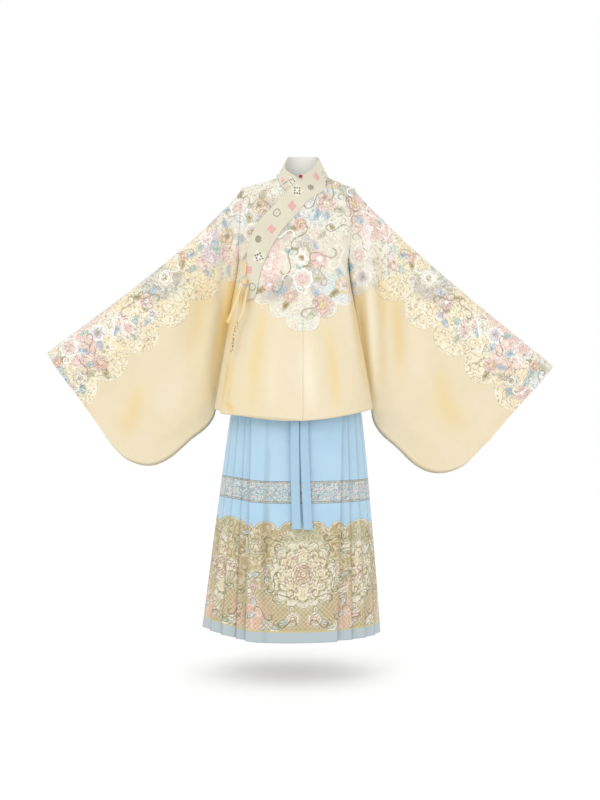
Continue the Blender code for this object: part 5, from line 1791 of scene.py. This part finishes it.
class ROBE_OT_side_tie(Operator):
    """Makes the bow at the wearer's right: its knot, its loop and its two tails"""

    bl_idname = "robe.side_tie"
    bl_label = "Side tie"

    def execute(self, context):
        sizes, colours = settings()
        satin = dressing("tie_strip", tie_satin, colours)
        for name, places in TIE_STRIPS.items():
            at = [dict(zip(("x", "z", "out"), row), place=float(i)) for i, row in enumerate(places)]
            place = np.linspace(0.0, len(places) - 1, 18 * (len(places) - 1) + 1)
            x, z, out = (read(at, "place", key, place) for key in ("x", "z", "out"))
            middle = np.stack([trunk_point(a, b, -1, c) for a, b, c in zip(x, z, out)])
            ahead = np.gradient(middle, axis=0)
            across = np.cross(ahead, np.array((-0.6, -0.8, 0.0)))
            across /= np.linalg.norm(across, axis=1, keepdims=True)
            reach = np.linspace(-0.5, 0.5, 11)
            end = np.minimum(place, len(places) - 1 - place) if name == "side_tie_loop" else place
            if name == "side_tie_strap":
                end = len(places) - 1 - place
            pinch = mix(0.55, 1.0, ease(end / 0.9))[:, None, None]
            points = middle[:, None] + across[:, None] * reach[None, :, None] * sizes.tie * pinch
            crown = 0.0014 * (1.0 - 4.0 * reach**2)[None, :, None]
            points = points + crown * np.array((-0.6, -0.8, 0.0))
            patch = Patch(points, points + np.array((0.6, 0.8, 0.0)))
            weaving = Weaving(points[..., 0], points[..., 2], THREADS["gold"])
            if name == "side_tie_tail_figured":
                weaving.cover = np.broadcast_to(ease((place - 1.7) / 0.4)[:, None], points.shape[:2])
            patch.fields = weaving.fields()
            place_sheet(make_sheet(name + "_satin", (patch,), satin, sizes.cloth), name)
        low, high = (np.array(corner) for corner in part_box("side_tie_knot"))
        centre, half = 0.5 * (low + high), 0.5 * (high - low)
        bpy.ops.object.select_all(action="DESELECT")
        bpy.ops.mesh.primitive_uv_sphere_add(segments=48, ring_count=32, radius=1.0, location=(0, 0, 0))
        knot = bpy.context.object
        knot.name = "side_tie_knot_satin"
        points = np.array([v.co for v in knot.data.vertices])
        square = np.sign(points) * np.abs(points) ** 0.72
        wraps = 1.0 + 0.10 * np.cos(7.0 * square[:, 2:3] + 2.2 * square[:, 0:1])
        waist = mix(0.86, 1.0, ease(np.abs(square[:, 2:3]) / 0.7))
        square[:, :2] *= wraps * waist
        square *= half / np.abs(square).max(axis=0)
        knot.data.vertices.foreach_set("co", (square + centre).reshape(-1))
        bpy.ops.object.shade_smooth()
        knot.data.uv_layers[0].name = "flat"
        knot.data.materials.append(satin)
        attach(knot, "root")
        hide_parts("side_tie_knot")
        return {"FINISHED"}


# Painted shade down the skirt's pleat valleys: where a pleat lies deeper than its neighbours it is darkened.
FOLD_WINDOW = 31  # columns of the skirt a pleat's depth is measured against
FOLDS_FROM = 0.180  # the flat panel at the middle has none
FOLD_DEPTH = 0.003  # depth below its neighbours at which a pleat is fully shaded


def running_mean(values, window):
    """The mean of each row around every column."""
    ends = window // 2
    total = np.cumsum(np.pad(values, ((0, 0), (ends + 1, ends)), mode="edge"), axis=1)
    return (total[:, window:] - total[:, :-window]) / window


class ROBE_OT_skirt(Operator):
    """Makes the skirt's two pleated sheets"""

    bl_idname = "robe.skirt"
    bl_label = "Skirt sheets"

    def execute(self, context):
        sizes, colours = settings()
        satin = dressing("sky_satin", sky_satin, "sky_satin", colours, True)
        z = spaced((40, 90), (SKIRT_TOP, -0.955, SKIRT_HEM))
        for name, hand, shift in (("skirt_right", -1, 0.0), ("skirt_left", 1, 0.10)):
            points = skirt_rows(hand, z)
            across = arc_lengths(points, 1)
            middle = np.abs(points[:, :60, 0]).argmin(axis=1)
            across = across - np.take_along_axis(across, middle[:, None], axis=1)
            height = np.broadcast_to((z - SKIRT_HEM)[:, None], across.shape)
            flat = np.stack([hand * across + shift, height], axis=-1)
            inside = np.zeros_like(points)
            inside[..., 0] = read(SKIRT, "z", "middle", points[..., 2])
            inside[..., 2] = points[..., 2]
            patch = Patch(points, inside, flat=flat)
            patch.fields = skirt_fields(flat)
            # Painted shade: how far each point lies below the running mean of its row, stored in the glow
            # attribute.
            out = np.hypot(points[..., 0] - inside[..., 0], points[..., 1])
            beside = ease((np.abs(flat[..., 0]) - 0.5 * FOLDS_FROM) / 0.02)
            painted_pleat_shade = beside * np.clip((running_mean(out, FOLD_WINDOW) - out) / FOLD_DEPTH, 0.0, 1.0)
            nothing = np.zeros_like(painted_pleat_shade)
            patch.fields["glow"] = np.stack([painted_pleat_shade, nothing, nothing], axis=-1)
            sheet = make_sheet(name + "_cloth", (patch,), satin, sizes.skirt_cloth)
            place_sheet(sheet, name)
        return {"FINISHED"}


class ROBE_OT_waistband(Operator):
    """Makes the skirt's waistband"""

    bl_idname = "robe.waistband"
    bl_label = "Waistband"

    def execute(self, context):
        colours = settings()[1]
        z = np.linspace(SKIRT_TOP + WAISTBAND_HEIGHT, SKIRT_TOP + 2 * SEAM, 20)[:, None]
        angle = np.linspace(0.0, math.tau, 180, endpoint=False)[None, :]
        points = skirt_point(angle + 0.0 * z, z + 0.0 * angle, 0.0)
        inside = np.zeros_like(points)
        inside[..., 2] = points[..., 2]
        patch = Patch(points, inside, loop=True)
        satin = dressing("ribbon_satin", sky_satin, "ribbon_satin", colours, False)
        place_sheet(
            make_sheet("skirt_waistband_cloth", (patch,), satin, 0.0030), "skirt_waistband"
        )
        return {"FINISHED"}


class ROBE_OT_ribbons(Operator):
    """Makes the two ribbons that hang at the front of the skirt"""

    bl_idname = "robe.ribbons"
    bl_label = "Skirt ribbons"

    def execute(self, context):
        sizes, colours = settings()
        satin = dressing("ribbon_satin", sky_satin, "ribbon_satin", colours, False)
        for i, (name, table) in enumerate(RIBBONS.items()):
            z = np.linspace(table[0]["z"], table[-1]["z"], 220)[:, None]
            across = np.linspace(-0.5, 0.5, 15)[None, :]
            x = read(table, "z", "x", z) + across * sizes.ribbon
            half = read(SKIRT, "z", "half", z)
            angle = np.arcsin((x - read(SKIRT, "z", "middle", z)) / half)
            points = skirt_point(angle, z + 0.0 * x, DOOR_LAYER + RIBBON_CLEAR)
            points[..., 0] = x
            sway = 0.0016 * np.sin(19.0 * z + 2.0 * i) + 0.0012 * across * np.sin(11.0 * z + i)
            points[..., 1] += sway - 0.0010 * (1.0 - 4.0 * across**2)
            flat = np.stack([(across + 0.5) * sizes.ribbon + 0.0 * z, z + 0.0 * x], axis=-1)
            patch = Patch(points, points + np.array((0.0, 1.0, 0.0)), flat=flat)
            sheet = make_sheet(name + "_satin", (patch,), satin, sizes.skirt_cloth)
            place_sheet(sheet, name)
        return {"FINISHED"}


FLOOR = -1.43
CAMERA_BACK = 3.8
CAMERA_HEIGHT = -0.628
VIEW_TALL = 2.36  # height of the view at the robe


class ROBE_OT_stage(Operator):
    """Makes the floor, the lights and the camera"""

    bl_idname = "robe.stage"
    bl_label = "Studio"

    def execute(self, context):
        bpy.ops.object.select_all(action="DESELECT")
        bpy.ops.mesh.primitive_plane_add(size=14.0, location=(0.0, 0.0, FLOOR))
        floor = bpy.context.object
        floor.name = "studio_floor"
        bpy.ops.object.transform_apply(location=True, rotation=True, scale=True)
        floor.data.materials.append(studio_paper())
        floor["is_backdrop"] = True

        world = bpy.data.worlds.new("studio_air")
        bpy.context.scene.world = world
        world.use_nodes = True
        air = world.node_tree.nodes["Background"]
        air.inputs["Color"].default_value = (1.0, 1.0, 1.0, 1.0)
        air.inputs["Strength"].default_value = 1.0
        lights = (
            ("key", (-1.8, -3.4, 2.2), 2.0, 26.0),
            ("fill", (2.8, -3.0, 0.6), 2.4, 8.0),
            ("back", (0.6, 3.2, 1.8), 2.4, 12.0),
        )
        for name, place, size, power in lights:
            bpy.ops.object.light_add(type="AREA", location=place)
            light = bpy.context.object
            light.name = name
            light.data.shape = "DISK"
            light.data.size = size
            light.data.energy = power
            aim = Vector((0.0, 0.0, -0.6)) - Vector(place)
            light.rotation_euler = aim.to_track_quat("-Z", "Y").to_euler()
        bpy.ops.object.camera_add(
            location=(-0.009, -CAMERA_BACK, CAMERA_HEIGHT), rotation=(math.radians(90.0), 0.0, 0.0)
        )
        camera = bpy.context.object
        camera.name = "camera"
        camera.data.sensor_fit = "VERTICAL"
        camera.data.sensor_height = 36.0
        camera.data.lens = 36.0 * CAMERA_BACK / VIEW_TALL
        bpy.context.scene.camera = camera
        bpy.context.scene.view_settings.view_transform = "Standard"
        return {"FINISHED"}


OPERATORS = (
    ROBE_OT_body,
    ROBE_OT_sleeves,
    ROBE_OT_collar,
    ROBE_OT_knot,
    ROBE_OT_side_tie,
    ROBE_OT_skirt,
    ROBE_OT_waistband,
    ROBE_OT_ribbons,
    ROBE_OT_stage,
)


class ROBE_PT_pieces(Panel):
    bl_idname = "ROBE_PT_pieces"
    bl_label = "Robe"
    bl_space_type = "VIEW_3D"
    bl_region_type = "UI"
    bl_category = "Robe"

    def draw(self, context):
        for group in (context.scene.robe_sizes, context.scene.robe_colours):
            for key in group.__annotations__:
                self.layout.prop(group, key)
        for operator in OPERATORS:
            self.layout.operator(operator.bl_idname)


CLASSES = (RobeSizes, RobeColours, *OPERATORS, ROBE_PT_pieces)


def register():
    for kind in CLASSES:
        bpy.utils.register_class(kind)
    bpy.types.Scene.robe_sizes = PointerProperty(type=RobeSizes)
    bpy.types.Scene.robe_colours = PointerProperty(type=RobeColours)


def unregister():
    del bpy.types.Scene.robe_colours
    del bpy.types.Scene.robe_sizes
    for kind in reversed(CLASSES):
        bpy.utils.unregister_class(kind)


def main():
    register()
    bpy.ops.robe.body()
    bpy.ops.robe.sleeves()
    bpy.ops.robe.collar()
    bpy.ops.robe.knot()
    bpy.ops.robe.side_tie()
    bpy.ops.robe.skirt()
    bpy.ops.robe.waistband()
    bpy.ops.robe.ribbons()
    bpy.ops.robe.stage()
    boxes = {"cad": CAD_BOX, "visual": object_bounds()}
    plain = {key: [[float(v) for v in corner] for corner in box] for key, box in boxes.items()}


if __name__ == "__main__":
    main()
